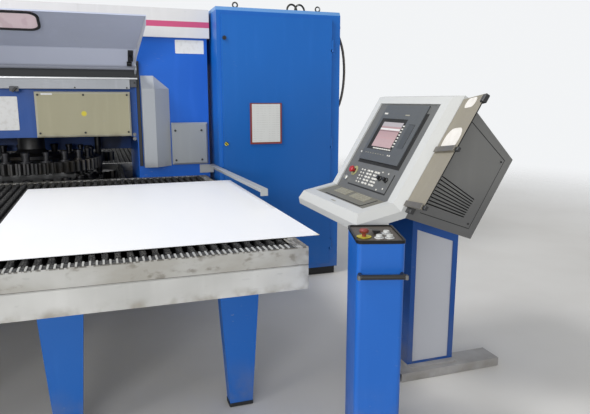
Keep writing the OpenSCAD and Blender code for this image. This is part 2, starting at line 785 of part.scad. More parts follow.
// Folded guard over the right edge of the table, carried by the column.
module side_guard_rail() color(white) {
  translate([side_rail_x, face_y, side_rail_z + side_rail_h]) rotate([-side_rail_rise, 0, 0])
    translate([0, 0, -side_rail_h]) difference() {
      span([0, -side_rail_len, 0], [side_rail_w, 0, side_rail_h]);
      span([-eps, -side_rail_len + side_rail_t, -eps], [side_rail_w - side_rail_t, eps, side_rail_h - side_rail_t]);
    }
  span([frame_w / 2 - side_foot_in, face_y - side_foot_t, side_rail_z - side_foot_low],
       [side_rail_x + side_rail_w, face_y, side_rail_z + side_rail_h]);
}

module sheet_blank() color("#e6e8ee")
  span([blank_right - blank_w, blank_near, table_plane], [blank_right, blank_near + blank_len, table_plane + blank_t]);

// Travelling beam on two trolleys, with a guide on its top and one on its side.
module cross_beam() color(white) translate([beam_x, 0, 0]) {
  difference() {
    span([-beam_w / 2, table_near, beam_z], [beam_w / 2, -table_near, beam_z + beam_h]);
    span([-beam_w / 2 + 8, table_near - eps, beam_z + 8], [beam_w / 2 - 8, -table_near + eps, beam_z + beam_h - 8]);
  }
  span([-15, table_near + 40, beam_z + beam_h - eps], [15, -table_near - 40, beam_z + beam_h + beam_rail_h]);
  for (back = [0, 1]) mirror([0, back, 0]) difference() {
    span([-beam_w / 2 - 60, table_near, rail_top + gap], [beam_w / 2 + 60, table_near + rail_w, beam_z + eps]);
    span([-beam_w, table_near + rail_w / 2 - guide_w / 2 - gap, rail_top],
         [beam_w, table_near + rail_w / 2 + guide_w / 2 + gap, rail_top + guide_h + gap]);
  }
}

// Clamp, from the carriage face outwards along +X, with z counted from the table plane.
module clamp_body() difference() {
  union() {
    span([-eps, -clamp_w / 2, finger_t + seat], [60, clamp_w / 2, 75]);
    for (side = [0, 1]) mirror([0, side, 0]) span([0, jaw_w / 2 + gap, finger_t + seat], [110, clamp_w / 2, 75]);
    translate([jaw_pin_x, 0, jaw_pin_z]) rotate([90, 0, 0]) cylinder(r = jaw_pin_r, h = clamp_w, center = true);
  }
}

module clamp_jaw(y) color(steel) translate([carriage_face, y, table_plane]) difference() {
  along_y(-jaw_w / 2, jaw_w / 2) polygon([[66, 34], [66, 60], [100, 62], [clamp_len, 36], [clamp_len, jaw_lift],
    [clamp_len - 14, jaw_lift], [clamp_len - 20, jaw_lift + 6], [100, 32]]);
  translate([jaw_pin_x, 0, jaw_pin_z]) rotate([90, 0, 0]) cylinder(r = jaw_pin_r + run, h = clamp_w, center = true);
}

carriage_face = beam_x + beam_w / 2 + gap + carriage_t;
module clamp_carriage() color(grey) {
  translate([beam_x, carriage_y, 0]) difference() {
    span([-beam_w / 2, -carriage_len / 2, beam_z + beam_h + gap],
         [beam_w / 2 + gap + carriage_t, carriage_len / 2, beam_z + beam_h + beam_rail_h + carriage_t]);
    span([-15 - gap, -carriage_len, beam_z + beam_h], [15 + gap, carriage_len, beam_z + beam_h + beam_rail_h + gap]);
  }
  translate([0, carriage_y, 0]) span([carriage_face - carriage_t, -carriage_len / 2, table_plane + 0.6],
    [carriage_face, carriage_len / 2, beam_z + beam_h + gap + eps]);
  for (side = [-1, 1]) translate([carriage_face, carriage_y + side * clamp_pitch / 2, table_plane]) clamp_body();
}

// Hardened lower fingers, screwed under the clamp bodies.
module clamp_fingers() color(steel) for (side = [-1, 1])
  translate([carriage_face, carriage_y + side * clamp_pitch / 2, table_plane])
    span([seat, -clamp_w / 2, 0.6], [clamp_len, clamp_w / 2, finger_t]);

module clamp_jaw_front() clamp_jaw(carriage_y - clamp_pitch / 2);
module clamp_jaw_rear() clamp_jaw(carriage_y + clamp_pitch / 2);

// Cabinet: folded shell with an open front, a black plinth and lift-off hinge pins.
module cabinet_shell() color(blue) {
  difference() {
    along_x(cabinet_x, cabinet_right) polygon([[shell_y, plinth_h], [shell_y, cabinet_h - roof_fold_h],
      [shell_y + roof_fold_d, cabinet_h], [cabinet_back, cabinet_h], [cabinet_back, plinth_h]]);
    along_x(cabinet_x + cabinet_t, cabinet_right - cabinet_t) polygon([
      [shell_y + cabinet_t, plinth_h + cabinet_t], [shell_y + cabinet_t, cabinet_h - roof_fold_h - 2],
      [shell_y + cabinet_t + roof_fold_d - 4, cabinet_h - cabinet_t], [cabinet_back - cabinet_t, cabinet_h - cabinet_t],
      [cabinet_back - cabinet_t, plinth_h + cabinet_t]]);
    span([door_left, shell_y - eps, door_bottom + 10], [door_right - 15, shell_y + 2 * cabinet_t, door_top - 10]);
  }
  difference() {
    span([cabinet_x + plinth_in, shell_y + plinth_in, 0], [cabinet_right - plinth_in, cabinet_back - plinth_in, plinth_h + eps]);
    span([cabinet_x + plinth_in + cabinet_t, shell_y + plinth_in + cabinet_t, -eps],
         [cabinet_right - plinth_in - cabinet_t, cabinet_back - plinth_in - cabinet_t, plinth_h - eps]);
  }
  span([frame_w / 2, tie_y, tie_top - tie_h], [cabinet_x + eps, tie_y + tie_d, tie_top]);
  for (z = hinge_heights) {
    translate([0, 0, z - lug_h]) linear_extrude(lug_h) {
      translate([door_pin_x, door_pin_y]) circle(door_barrel_r);
      translate([door_pin_x - 3, door_pin_y]) square([13, shell_y - door_pin_y + 3]);
    }
    translate([door_pin_x, door_pin_y, z - eps]) cylinder(r = door_pin_r, h = door_barrel_h - 5);
  }
}

hinge_heights = [door_bottom + 150, (door_bottom + door_top) / 2, door_top - 250];
module cabinet_door() color(blue) difference() {
  union() {
    difference() {
      span([door_left, cabinet_y, door_bottom], [door_right, cabinet_y + door_t, door_top]);
      span([door_left + door_wall, cabinet_y + door_wall, door_bottom + door_wall],
           [door_right - door_wall, cabinet_y + door_t + eps, door_top - door_wall]);
      for (z = hinge_heights) span([door_right - 8, cabinet_y - eps, z - lug_h - 2],
                                   [door_right + 1, cabinet_y + door_t + eps, z + door_barrel_h + 2]);
    }
    for (z = hinge_heights) translate([0, 0, z + seat]) linear_extrude(door_barrel_h) difference() {
      union() {
        translate([door_pin_x, door_pin_y]) circle(door_barrel_r);
        translate([door_right - 12, door_pin_y - door_barrel_r]) square([door_pin_x - door_right + 12, 6]);
        translate([door_right - 12, door_pin_y - door_barrel_r]) square([4, 18]);
      }
      translate([door_pin_x, door_pin_y]) circle(door_pin_r + run);
    }
    for (z = [upper_lock_z, lower_lock_z]) translate([lock_x, cabinet_y + door_t, z]) rotate([90, 0, 0])
      cylinder(r = 17, h = door_t);
  }
  for (z = [upper_lock_z, lower_lock_z]) translate([lock_x, 0, z]) rotate([90, 0, 0])
    cylinder(r = lock_bore_r + run, h = 3 * cabinet_d, center = true);
}

// Quarter-turn lock: slotted head in front, plug through the door, cam behind it.
module quarter_lock(z) translate([lock_x, cabinet_y, z]) {
  cam_y = door_t + door_gap + cabinet_t + cam_stand;
  difference() {
    rotate([90, 0, 0]) cylinder(r = lock_head_r, h = lock_head_h);
    translate([-2, -lock_head_h - eps, 5 - lock_head_r]) cube([4, 6, 2 * lock_head_r - 10]);
  }
  translate([0, cam_y + cam_t, 0]) rotate([90, 0, 0]) cylinder(r = lock_bore_r, h = cam_y + cam_t + eps);
  translate([1 - lock_bore_r, cam_y, -cam_len]) cube([2 * lock_bore_r - 2, cam_t, cam_len]);
}

module upper_lock() color(dark) translate([0, -seat, 0]) quarter_lock(upper_lock_z);
module lower_lock() color(yellow) translate([0, -seat, 0]) quarter_lock(lower_lock_z);

module document_holder() color("#6e2a22") translate([holder_x, cabinet_y - holder_d, holder_z]) difference() {
  cube([holder_w, holder_d, holder_h]);
  translate([3, 3, 3]) cube([holder_w - 6, holder_d - 5, holder_h]);
  translate([40, -eps, holder_h - 60]) cube([holder_w - 80, 5, 61]);
}

// Galvanised back plate with rows of switchgear and two wiring ducts.
module mounting_plate() color("#b9bdb6") {
  span([cabinet_x + mount_margin, mount_y, mount_bottom], [cabinet_right - mount_margin, mount_y + mount_t, mount_top]);
  for (x = [cabinet_x + mount_margin + spacer_w, cabinet_right - mount_margin - 2 * spacer_w],
       z = [mount_bottom + 50, mount_top - 80])
    span([x, mount_y + mount_t - eps, z], [x + spacer_w, cabinet_back - cabinet_t - seat, z + spacer_w]);
  for (row = [0:3]) {
    z = row_bottom + row * row_pitch;
    span([cabinet_x + mount_margin + 20, mount_y - duct_d, z], [cabinet_right - mount_margin - 20, mount_y + eps, z + duct_h]);
    for (i = [0:floor((cabinet_w - 2 * mount_margin - 60 - device_w) / device_pitch)])
      translate([cabinet_x + mount_margin + 30 + i * device_pitch, mount_y + eps - device_d - device_step * (i % 3), z + duct_h + 40])
        cube([device_w, device_d + device_step * (i % 3), device_h + 20 * (i % 2)]);
  }
}

// Lifting eyes and cable loops on the roof, the conduit elbow and the conduit gland.
module cabinet_fittings() color("#4a4c48") {
  for (x = [cabinet_x + 180, cabinet_right - 175]) translate([x, cabinet_y + 120, cabinet_h]) {
    cylinder(r = 18, h = 10);
    translate([0, 0, 28]) rotate([90, 0, 0]) rotate_extrude() translate([20, 0]) circle(6);
  }
  for (x = [cabinet_right - 420, cabinet_right - 350]) translate([x, cabinet_y + 90, cabinet_h]) rotate([90, 0, 20])
    rotate_extrude(angle = 180) translate([52, 0]) circle(8);
  translate([cabinet_right, conduit_y, 0]) {
    translate([0, 0, elbow_z]) rotate([0, 90, 0]) {
      cylinder(r = elbow_r, h = elbow_out);
      cylinder(r = elbow_r + 8, h = 10);
    }
    translate([elbow_out, 0, elbow_z]) sphere(elbow_r);
    translate([elbow_out, 0, elbow_z - elbow_drop]) {
      cylinder(r = elbow_r, h = elbow_drop);
      cylinder(r = elbow_r + 4, h = 22);
    }
    translate([0, 0, gland_z]) rotate([0, 90, 0]) {
      cylinder(r = elbow_r - 4, h = gland_len);
      cylinder(r = elbow_r, h = 12);
    }
  }
}

// Ribbed conduit as a swept tube: each ring lies across the route.
function route_dir(i) = i == 0 ? [0, 1] : i == len(conduit_route) - 1 ? [-1, 0] :
  (conduit_route[i + 1] - conduit_route[i - 1]) / norm(conduit_route[i + 1] - conduit_route[i - 1]);
conduit_sides = 10;
module conduit() color("#5a5148") {
  rings = len(conduit_route);
  points = [for (i = [0:rings - 1]) for (k = [0:conduit_sides - 1])
    let (d = route_dir(i), a = 360 * k / conduit_sides, out = conduit_r * cos(a))
    [cabinet_right + conduit_route[i][0] + d[1] * out, conduit_y + conduit_r * sin(a), elbow_z - conduit_route[i][1] + d[0] * out]];
  sides = [for (i = [0:rings - 2]) for (k = [0:conduit_sides - 1])
    let (a = i * conduit_sides + k, b = i * conduit_sides + (k + 1) % conduit_sides)
    [a, b, b + conduit_sides, a + conduit_sides]];
  polyhedron(points, concat(sides, [[for (k = [conduit_sides - 1:-1:0]) k],
    [for (k = [0:conduit_sides - 1]) (rings - 1) * conduit_sides + k]]));
}

// Hydraulic tank behind the cabinet, with its pump motor, valve block and pipes to the column.
module hydraulic_unit() color(grey) {
  difference() {
    span([tank_x, tank_y, tank_foot_h], [tank_x + tank_w, tank_y + tank_d, tank_top]);
    span([tank_x + tank_wall, tank_y + tank_wall, tank_foot_h + tank_wall],
         [tank_x + tank_w - tank_wall, tank_y + tank_d - tank_wall, tank_top + eps]);
  }
  span([tank_x - lid_out, tank_y - lid_out, tank_top + seat], [tank_x + tank_w + lid_out, tank_y + tank_d + lid_out, tank_top + lid_t]);
  for (x = [tank_x + 20, tank_x + tank_w - 20 - tank_foot_w], y = [tank_y + 20, tank_y + tank_d - 20 - tank_foot_w])
    span([x, y, 0], [x + tank_foot_w, y + tank_foot_w, tank_foot_h + eps]);
  translate([tank_x + tank_w - 280, tank_y + tank_d / 2, pump_motor_z]) {
    rotate([0, 90, 0]) {
      cylinder(r = pump_motor_r, h = pump_motor_len, center = true);
      for (i = [0:15]) rotate(i * 22.5) translate([pump_motor_r - 4, -4, 30 - pump_motor_len / 2])
        cube([16, 8, pump_motor_len - 80]);
      translate([0, 0, -60 - pump_motor_len / 2]) cylinder(r = 70, h = 61);
    }
    translate([-180, -80, tank_top + lid_t - eps - pump_motor_z]) cube([360, 160, 21]);
  }
  translate([tank_x + 60, tank_y + tank_d / 4, tank_top + lid_t - eps]) cube([200, 270, block_h + eps]);
  for (side = [-1, 1]) translate([frame_w / 2, tank_y + 270 + side * 60, pipe_z]) rotate([0, 90, 0])
    cylinder(r = pipe_r, h = tank_x + 61 - frame_w / 2);
}

// Console: points of the front face at a depth below it, from the nose over the fold to the crown.
function sunk(depth, low = 0, high = 0) = [nose + low * desk_dir - depth * desk_out, fold - depth * mitre,
  crown - high * fascia_dir - depth * fascia_out];

// Layer of the front face between two depths, shortened at its low and high ends.
module front_layer(from, to, low = 0, high = 0)
  polygon(concat(sunk(from, low, high), [for (i = [2:-1:0]) sunk(to, low, high)[i]]));

// Both limbs of the rim: the top face's edges fall outward to an upright band.
function rim_limb(i, from, to, in) = let (a = sunk(from, in, in), b = sunk(to, in, in)) [a[i], a[i + 1], b[i + 1], b[i]];
module rim(wall, back) for (i = [0, 1]) hull() {
  along_y(console_near + wall, console_far - wall) polygon(rim_limb(i, wall, rim_fall, wall));
  along_y(console_near - rim_out + wall, console_far + rim_out - wall)
    polygon(rim_limb(i, rim_fall + wall, back, wall - rim_out));
}

// The opening stops at a floor under the desk, and a flange behind the rim carries the housing.
rim_back = console_depth - frame_wall;
desk_floor_end = sunk(rim_back)[1] - (2 * console_depth - rim_back) / (desk_dir * fascia_out) * desk_dir;
module console_frame() color(white) difference() {
  rim(0, console_depth);
  along_y(console_near + console_border, console_far - console_border)
    polygon(concat(sunk(-40, desk_band, crown_band),
      [sunk(2 * console_depth, 0, crown_band)[2], desk_floor_end, sunk(rim_back, desk_band)[0]]));
  difference() {
    rim(frame_wall, 2 * console_depth);
    along_y(console_near - flange_out, console_far + flange_out)
      front_layer(rim_back, 3 * console_depth, -flange_out, -flange_out);
    along_y(console_near + console_border - frame_wall, console_far - console_border + frame_wall)
      front_layer(-40, 3 * console_depth, desk_band - frame_wall, crown_band - frame_wall);
  }
}

// Sheet housing behind the fascia, with a raised side panel and louvres that fan out from its low edge.
louvre_low = [[127, 61], [358, -27]];
louvre_high = [[217, 191], [414, 61]];
louvre_h = 6;
housing_heel = sunk(console_depth + seat)[1];
housing_line = [housing_heel, housing_low, housing_rear, housing_top, sunk(console_depth + seat)[2]];
module console_housing() color(grey) difference() {
  union() {
    along_y(console_near, console_far) polygon(housing_line);
    along_y(console_near - 3, console_near + eps) offset(delta = -16) polygon(housing_line);
  }
  along_y(console_near + housing_wall, console_far - housing_wall) union() {
    offset(delta = -housing_wall) polygon(housing_line);
    front_layer(console_depth - eps, console_depth + 12, norm(fold - nose) + 20, 12);
  }
  for (i = [0:louvres - 1]) along_y(console_near - 4, console_near + 2 * housing_wall)
    let (t = i / (louvres - 1), a = (1 - t) * louvre_low[0] + t * louvre_high[0], b = (1 - t) * louvre_low[1] + t * louvre_high[1])
      translate(housing_heel + a) rotate(atan2(b[1] - a[1], b[0] - a[0])) square([norm(b - a), louvre_h]);
}

// Places on the sloping fascia, as [height up the slope, place along Y, spindle radius].
spindle_r = 5;
console_estop_at = [111, -2515, stem_r];
key_at = [57, -2465, spindle_r];
selector_left_at = [104, -2842, spindle_r];
selector_right_at = [103, -2909, spindle_r];
module on_fascia(place) translate([fold[0], place[1], fold[1]]) rotate([0, -fascia_slope, 0])
  translate([place[0], 0, -fascia_depth]) children();

module console_fascia() color("#6f7376") difference() {
  union() {
    along_y(console_near + console_border + seat, console_far - console_border - seat)
      front_layer(fascia_depth, fascia_depth + fascia_t, desk_band + seat, crown_band + seat);
    on_fascia(console_estop_at) cylinder(r = 30, h = 3);
  }
  for (place = [console_estop_at, key_at, selector_left_at, selector_right_at])
    on_fascia(place) cylinder(r = place[2] + run, h = 4 * fascia_t, center = true);
}

// Monitor with its black surround: a bezel plate with a sunk screen.
module screen_unit() color("#5e6265") on_fascia([0, 0]) difference() {
  span([screen_low, screen_near, seat], [screen_high, screen_far, screen_t]);
  span([screen_low + bezel_in[0], screen_near + bezel_in[1], 5], [screen_high - bezel_in[3], screen_far - bezel_in[2], screen_t + eps]);
  span([screen_low + bezel_in[0] + glass_in, screen_near + bezel_in[1] + glass_side, 3],
       [screen_high - bezel_in[3] - glass_in, screen_far - bezel_in[2] - glass_side, screen_t + eps]);
}

// Mushroom head on its stem, held behind the plate by a collar.
module mushroom(r, head_z, plate) rotate_extrude() polygon([[0, -plate - 12], [stem_r + 3, -plate - 12],
  [stem_r + 3, -plate - seat], [stem_r, -plate - seat], [stem_r, head_z], [r - 3, head_z + 3], [r, head_z + 9],
  [r, head_z + 14], [r - 6, head_z + 20], [0, head_z + 21]]);

module console_estop() color(red) on_fascia(console_estop_at) mushroom(20, 13, fascia_t);

module spindle() translate([0, 0, -fascia_t - 14]) cylinder(r = spindle_r, h = fascia_t + 16);

module turn_knob(r, h) {
  spindle();
  translate([0, 0, seat]) difference() {
    rotate_extrude() polygon([[0, 0], [r, 0], [r, 6], [r * 0.75, 8], [r * 0.7, h - 2], [r * 0.6, h], [0, h]]);
    translate([-1, 0, h - 3]) cube([2, r, 4]);
  }
}

module key_switch() color(steel) on_fascia(key_at) {
  spindle();
  translate([0, 0, seat]) cylinder(r = 13, h = 6);
  translate([-10, -1.5, 5]) cube([20, 3, 22]);
}
module selector_left() color(rubber) on_fascia(selector_left_at) turn_knob(15, 24);
module selector_right() color(rubber) on_fascia(selector_right_at) turn_knob(15, 24);

// Board with two clamp bars on the near side of the rim, its outer edge lifted.
module document_board() color(beige) translate([fold[0], console_near - rim_out, fold[1]])
  rotate([0, -fascia_slope, 0]) translate([board_low, 0, -rim_fall - 1]) {
    translate([0, -3, 0]) rotate([-board_lift, 0, 0]) {
      span([0, -board_w, -board_t], [board_len, 0, 0]);
      for (u = [0, board_len / 2]) span([u, -board_w, -eps], [u + 24, -20, 10]);
    }
    for (u = [board_len / 5, board_len * 0.7]) span([u, -12, -34], [u + 40, 0, -2]);
  }

// Tall box stand with a sloping top under the housing and a sunk front panel.
stand_top = housing_low[1] - seat;
function under_housing(x) = stand_top + (housing_low[0] - x) * (housing_heel[1] - housing_low[1]) / (housing_low[0] - housing_heel[0]);
module console_stand() color(blue) difference() {
  along_y(stand_y, stand_y + stand_d) polygon([[stand_x, stand_z], [stand_x + stand_w, stand_z],
    [stand_x + stand_w, stand_top], [housing_low[0], stand_top], [stand_x, under_housing(stand_x)]]);
  span([stand_x + stand_wall, stand_y + stand_wall + panel_recess, stand_z - eps],
       [stand_x + stand_w - stand_wall, stand_y + stand_d - stand_wall, housing_low[1] - 40]);
  along_y(stand_y - eps, stand_y + panel_recess) polygon([[stand_x + panel_side, stand_z + panel_low],
    [stand_x + stand_w - panel_side, stand_z + panel_low],
    for (x = [stand_x + stand_w - panel_side, stand_x + panel_side]) [x, under_housing(x) - panel_drop]]);
}

module console_base() color("#a9abaa") {
  for (beam = [[base_x, base_len, stand_y - base_beam_out, base_beam_w],
               [stand_x, stand_w, stand_y + stand_d - base_foot_w, base_foot_w]]) difference() {
    span([beam[0], beam[2], 0], [beam[0] + beam[1], beam[2] + beam[3], base_h]);
    span([beam[0] - eps, beam[2] + base_wall, base_wall], [beam[0] + beam[1] + eps, beam[2] + beam[3] - base_wall, base_h - base_wall]);
  }
  span([stand_x, stand_y - base_beam_out / 2, base_h - eps], [stand_x + stand_w, stand_y + stand_d, stand_z]);
}

// Pedestal, turned a little about its own upright axis.
module at_pedestal() translate([pedestal_x, pedestal_y, 0]) rotate(pedestal_turn) children();

module pedestal_body() color(blue) at_pedestal() {
  linear_extrude(pedestal_h - 14) difference() {
    rounded(pedestal_w, pedestal_l, pedestal_r);
    rounded(pedestal_w - 2 * pedestal_wall, pedestal_l - 2 * pedestal_wall, pedestal_r - pedestal_wall);
  }
  linear_extrude(8) rounded(pedestal_w - pedestal_wall, pedestal_l - pedestal_wall, pedestal_r - pedestal_wall / 2);
}

// Places of the buttons on the top plate, as [x, y].
estop_at = [-60, -62];
start_at = [2, -80];
stop_at = [47, -82];
jog_at = [47, -3];
clamp_at = [4, 3];
button_places = [estop_at, start_at, stop_at, jog_at, clamp_at];

module pedestal_top() color("#8d8f8c") at_pedestal() difference() {
  union() {
    translate([0, 0, pedestal_h - 14]) linear_extrude(14) difference() {
      rounded(pedestal_w + 4, pedestal_l + 4, pedestal_r + 2);
      rounded(pedestal_w - 12, pedestal_l - 12, pedestal_r - 6);
    }
    translate([0, 0, top_plate_z - top_plate_t]) linear_extrude(top_plate_t)
      rounded(pedestal_w - 10, pedestal_l - 10, pedestal_r - 5);
    translate([estop_at[0], estop_at[1], top_plate_z - eps]) cylinder(r = 32, h = 5);
  }
  for (p = button_places) translate([p[0], p[1], pedestal_h - 40]) cylinder(r = stem_r + run, h = 80);
}

module pedestal_handle() color(rubber) at_pedestal() translate([0, -pedestal_l / 2, handle_z]) {
  for (side = [-1, 1]) translate([side * (handle_span / 2 - handle_r), 0, 0]) rotate([90, 0, 0]) cylinder(r = handle_r, h = 42);
  translate([-handle_span / 2, -40, 0]) rotate([0, 90, 0]) cylinder(r = handle_r + 2, h = handle_span);
}

// Push button on its stem, held below the top plate by a collar.
module at_button(p) at_pedestal() translate([p[0], p[1], top_plate_z]) children();

module button_stem() {
  translate([0, 0, -top_plate_t - 10]) cylinder(r = stem_r, h = top_plate_t + button_travel + 12);
  translate([0, 0, -top_plate_t - 12]) cylinder(r = stem_r + 3, h = 12 - seat);
}

module round_button(p) at_button(p) {
  button_stem();
  translate([0, 0, button_travel + 1]) cylinder(r1 = 15, r2 = 13, h = 9);
}

module pedestal_estop() color(red) at_button(estop_at) mushroom(21, 17, top_plate_t);
module start_button() color("#c9cbc8") round_button(start_at);
module stop_button() color("#b4b6b3") round_button(stop_at);
module jog_button() color("#a4a6a3") round_button(jog_at);
module clamp_button() color(rubber) at_button(clamp_at) {
  button_stem();
  translate([-16, -12, button_travel + 1]) cube([32, 24, 9]);
}

side_columns();
upper_beam();
lower_beam();
corner_gussets();
top_cladding();
hood_carrier();
terminal_box_cover();
throat_guard();
column_cover();
turret_bearings();
turret_motor();
ram_cylinder();
upper_turret();
lower_turret();
punch_tools();
die_set();
drive_shaft();
ram();
hood_shell();
hood_gasket();
hood_window();
table_frames();
table_legs();
leg_feet();
brush_beds();
side_guard_rail();
sheet_blank();
cross_beam();
clamp_carriage();
clamp_fingers();
clamp_jaw_front();
clamp_jaw_rear();
cabinet_shell();
cabinet_door();
upper_lock();
lower_lock();
document_holder();
mounting_plate();
cabinet_fittings();
conduit();
hydraulic_unit();
console_frame();
console_housing();
console_fascia();
screen_unit();
console_estop();
key_switch();
selector_left();
selector_right();
document_board();
console_stand();
console_base();
pedestal_body();
pedestal_top();
pedestal_handle();
pedestal_estop();
start_button();
stop_button();
jog_button();
clamp_button();
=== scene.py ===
"""Sheet metal punching machine with brush tables, control cabinet, console and pedestal."""
import math

import bmesh
import bpy
from mathutils import Euler, Matrix, Vector


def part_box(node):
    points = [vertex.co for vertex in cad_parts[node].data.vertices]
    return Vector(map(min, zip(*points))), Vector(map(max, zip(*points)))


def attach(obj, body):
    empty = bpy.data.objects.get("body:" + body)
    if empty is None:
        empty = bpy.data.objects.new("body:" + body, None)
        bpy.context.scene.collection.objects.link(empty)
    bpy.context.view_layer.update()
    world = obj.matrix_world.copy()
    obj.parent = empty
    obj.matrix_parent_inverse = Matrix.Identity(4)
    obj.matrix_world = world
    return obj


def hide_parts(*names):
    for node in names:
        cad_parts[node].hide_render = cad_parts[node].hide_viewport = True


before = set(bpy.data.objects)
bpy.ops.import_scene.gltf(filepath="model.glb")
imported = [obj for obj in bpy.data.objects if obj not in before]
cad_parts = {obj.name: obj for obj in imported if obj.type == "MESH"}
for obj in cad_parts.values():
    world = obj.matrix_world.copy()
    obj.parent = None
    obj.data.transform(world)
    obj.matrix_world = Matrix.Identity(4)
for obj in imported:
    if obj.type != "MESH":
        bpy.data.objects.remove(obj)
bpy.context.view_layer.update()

# Where the viewer stands and what lights the machine.
# The eye is at standing height in front of the loading table; three large soft
# lamps and a pale surround light the machine like a workshop with high windows.
camera = bpy.data.objects.new("eye", bpy.data.cameras.new("eye"))
bpy.context.scene.collection.objects.link(camera)
camera.location = (1.08, -5.50, 1.59)
camera.rotation_euler = (math.radians(79.253), 0.0, math.radians(-18.927))
camera.data.lens = 34.29
camera.data.sensor_width = 36.0
bpy.context.scene.camera = camera
bpy.context.scene.view_settings.view_transform = "Standard"


def tone(red, green, blue):
    """A colour as the eye reads it, 0 to 255, turned into linear light."""
    return tuple((c / 255 / 12.92) if c / 255 <= 0.04045 else ((c / 255 + 0.055) / 1.055) ** 2.4
                 for c in (red, green, blue)) + (1.0,)


class Value:
    """A socket that Python's operators work on; each operator adds its Math node."""

    def __init__(self, bench, socket):
        self.bench = bench
        self.socket = socket

    def math(self, operation, *others, clamp=False):
        return self.bench.node("ShaderNodeMath", {"operation": operation, "use_clamp": clamp},
                               dict(enumerate((self,) + others)))

    def __add__(self, other):
        return self.math("ADD", other)

    def __sub__(self, other):
        return self.math("SUBTRACT", other)

    def __mul__(self, other):
        return self.math("MULTIPLY", other)

    def __truediv__(self, other):
        return self.math("DIVIDE", other)

    def __pow__(self, other):
        return self.math("POWER", other)

    def __neg__(self):
        return self * -1.0

    def __rsub__(self, other):
        return -self + other

    __radd__ = __add__
    __rmul__ = __mul__

    def rise(self, low, high):
        """0 below low, 1 above high, with a soft step between them; low may be the larger."""
        if low > high:
            return 1.0 - self.rise(high, low)
        return self.bench.node("ShaderNodeMapRange", {"interpolation_type": "SMOOTHSTEP"},
                               {"Value": self, "From Min": low, "From Max": high})

    def within(self, low, high, soft=0.002):
        return self.rise(low - soft, low + soft) * self.rise(high + soft, high - soft)

    def repeat(self, pitch):
        """Distance from the middle of the nearest of many equal steps."""
        return ((self / pitch).math("FRACT") - 0.5).math("ABSOLUTE") * pitch

    def beside(self, output):
        return Value(self.bench, self.socket.node.outputs[output])


class Bench:
    """A node tree being wired, for a finish or for a shape that repeats."""

    def __init__(self, tree):
        self.tree = tree

    def node(self, kind, settings=None, sockets=None, output=0):
        made = self.tree.nodes.new(kind)
        for name, value in (settings or {}).items():
            if name == "stops":
                ramp = made.color_ramp
                while len(ramp.elements) < len(value):
                    ramp.elements.new(1.0)
                for element, (position, colour) in zip(ramp.elements, value):
                    element.position, element.color = position, colour
            else:
                setattr(made, name, value)
        for name, value in (sockets or {}).items():
            if isinstance(value, Value):
                self.tree.links.new(value.socket, made.inputs[name])
            else:
                made.inputs[name].default_value = value
        return Value(self, made.outputs[output])


class Finish(Bench):
    """A material wired from the coordinates of the piece that it lies on."""

    def __init__(self, name, colour, rough=0.5, metallic=0.0, coat=0.0):
        self.material = bpy.data.materials.new(name)
        self.material.use_nodes = True
        super().__init__(self.material.node_tree)
        self.surface = self.tree.nodes["Principled BSDF"]
        self.surface.inputs["Metallic"].default_value = metallic
        self.surface.inputs["Coat Weight"].default_value = coat
        self.at = self.node("ShaderNodeTexCoord", output="Object")
        self.x = self.node("ShaderNodeSeparateXYZ", sockets={0: self.at})
        self.y = self.x.beside("Y")
        self.z = self.x.beside("Z")
        self.colour = colour
        self.rough = rough
        self.normal = None

    def noise(self, scale, detail=2.0, stretch=(1.0, 1.0, 1.0), roughness=0.5):
        place = self.node("ShaderNodeMapping", sockets={"Vector": self.at, "Scale": stretch})
        return self.node("ShaderNodeTexNoise", sockets={"Vector": place, "Scale": scale, "Detail": detail,
                                                         "Roughness": roughness})

    def cells(self, scale, stretch=(1.0, 1.0, 1.0)):
        place = self.node("ShaderNodeMapping", sockets={"Vector": self.at, "Scale": stretch})
        return self.node("ShaderNodeTexVoronoi", sockets={"Vector": place, "Scale": scale})

    def facing(self, axis):
        normal = self.node("ShaderNodeNewGeometry", output="Normal")
        return self.node("ShaderNodeSeparateXYZ", sockets={0: normal}, output="XYZ".index(axis))

    def over(self, colour, amount):
        """Lays a colour over what is there, as thick as amount says."""
        self.colour = self.node("ShaderNodeMix", {"data_type": "RGBA"},
                                {0: amount, 6: self.colour, 7: colour}, output=2)
        return self

    def bump(self, height, depth, strength=1.0):
        sockets = {"Height": height, "Distance": depth, "Strength": strength}
        if self.normal is not None:
            sockets["Normal"] = self.normal
        self.normal = self.node("ShaderNodeBump", sockets=sockets)
        return self

    def done(self):
        for name, value in (("Base Color", self.colour), ("Roughness", self.rough), ("Normal", self.normal)):
            if isinstance(value, Value):
                self.tree.links.new(value.socket, self.surface.inputs[name])
            elif value is not None:
                self.surface.inputs[name].default_value = value
        return self.material


def dress(material, *nodes):
    """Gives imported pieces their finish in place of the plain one."""
    for name in nodes:
        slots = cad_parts[name].data.materials
        if not slots:
            slots.append(material)
        for i in range(len(slots)):
            slots[i] = material


def new_piece(name, mesh, material=None):
    piece = bpy.data.objects.new(name, mesh)
    bpy.context.scene.collection.objects.link(piece)
    if material:
        mesh.materials.clear()
        mesh.materials.append(material)
    return piece


floor_finish = Finish("pale_floor", tone(226, 224, 220), rough=0.7)
floor_finish.over(tone(214, 211, 206), floor_finish.noise(0.9, 4.0).rise(0.35, 0.75) * 0.6)
reach = (floor_finish.x ** 2.0 + floor_finish.y ** 2.0).math("SQRT")
floor_finish.tree.links.new(reach.rise(13.0, 5.5).socket, floor_finish.surface.inputs["Alpha"])
floor_mesh = bpy.data.meshes.new("pale_floor")
floor_mesh.from_pydata([(-30, -30, 0), (30, -30, 0), (30, 30, 0), (-30, 30, 0)], [], [(0, 1, 2, 3)])
floor = new_piece("pale_floor", floor_mesh, floor_finish.done())
floor.location.z = -0.002

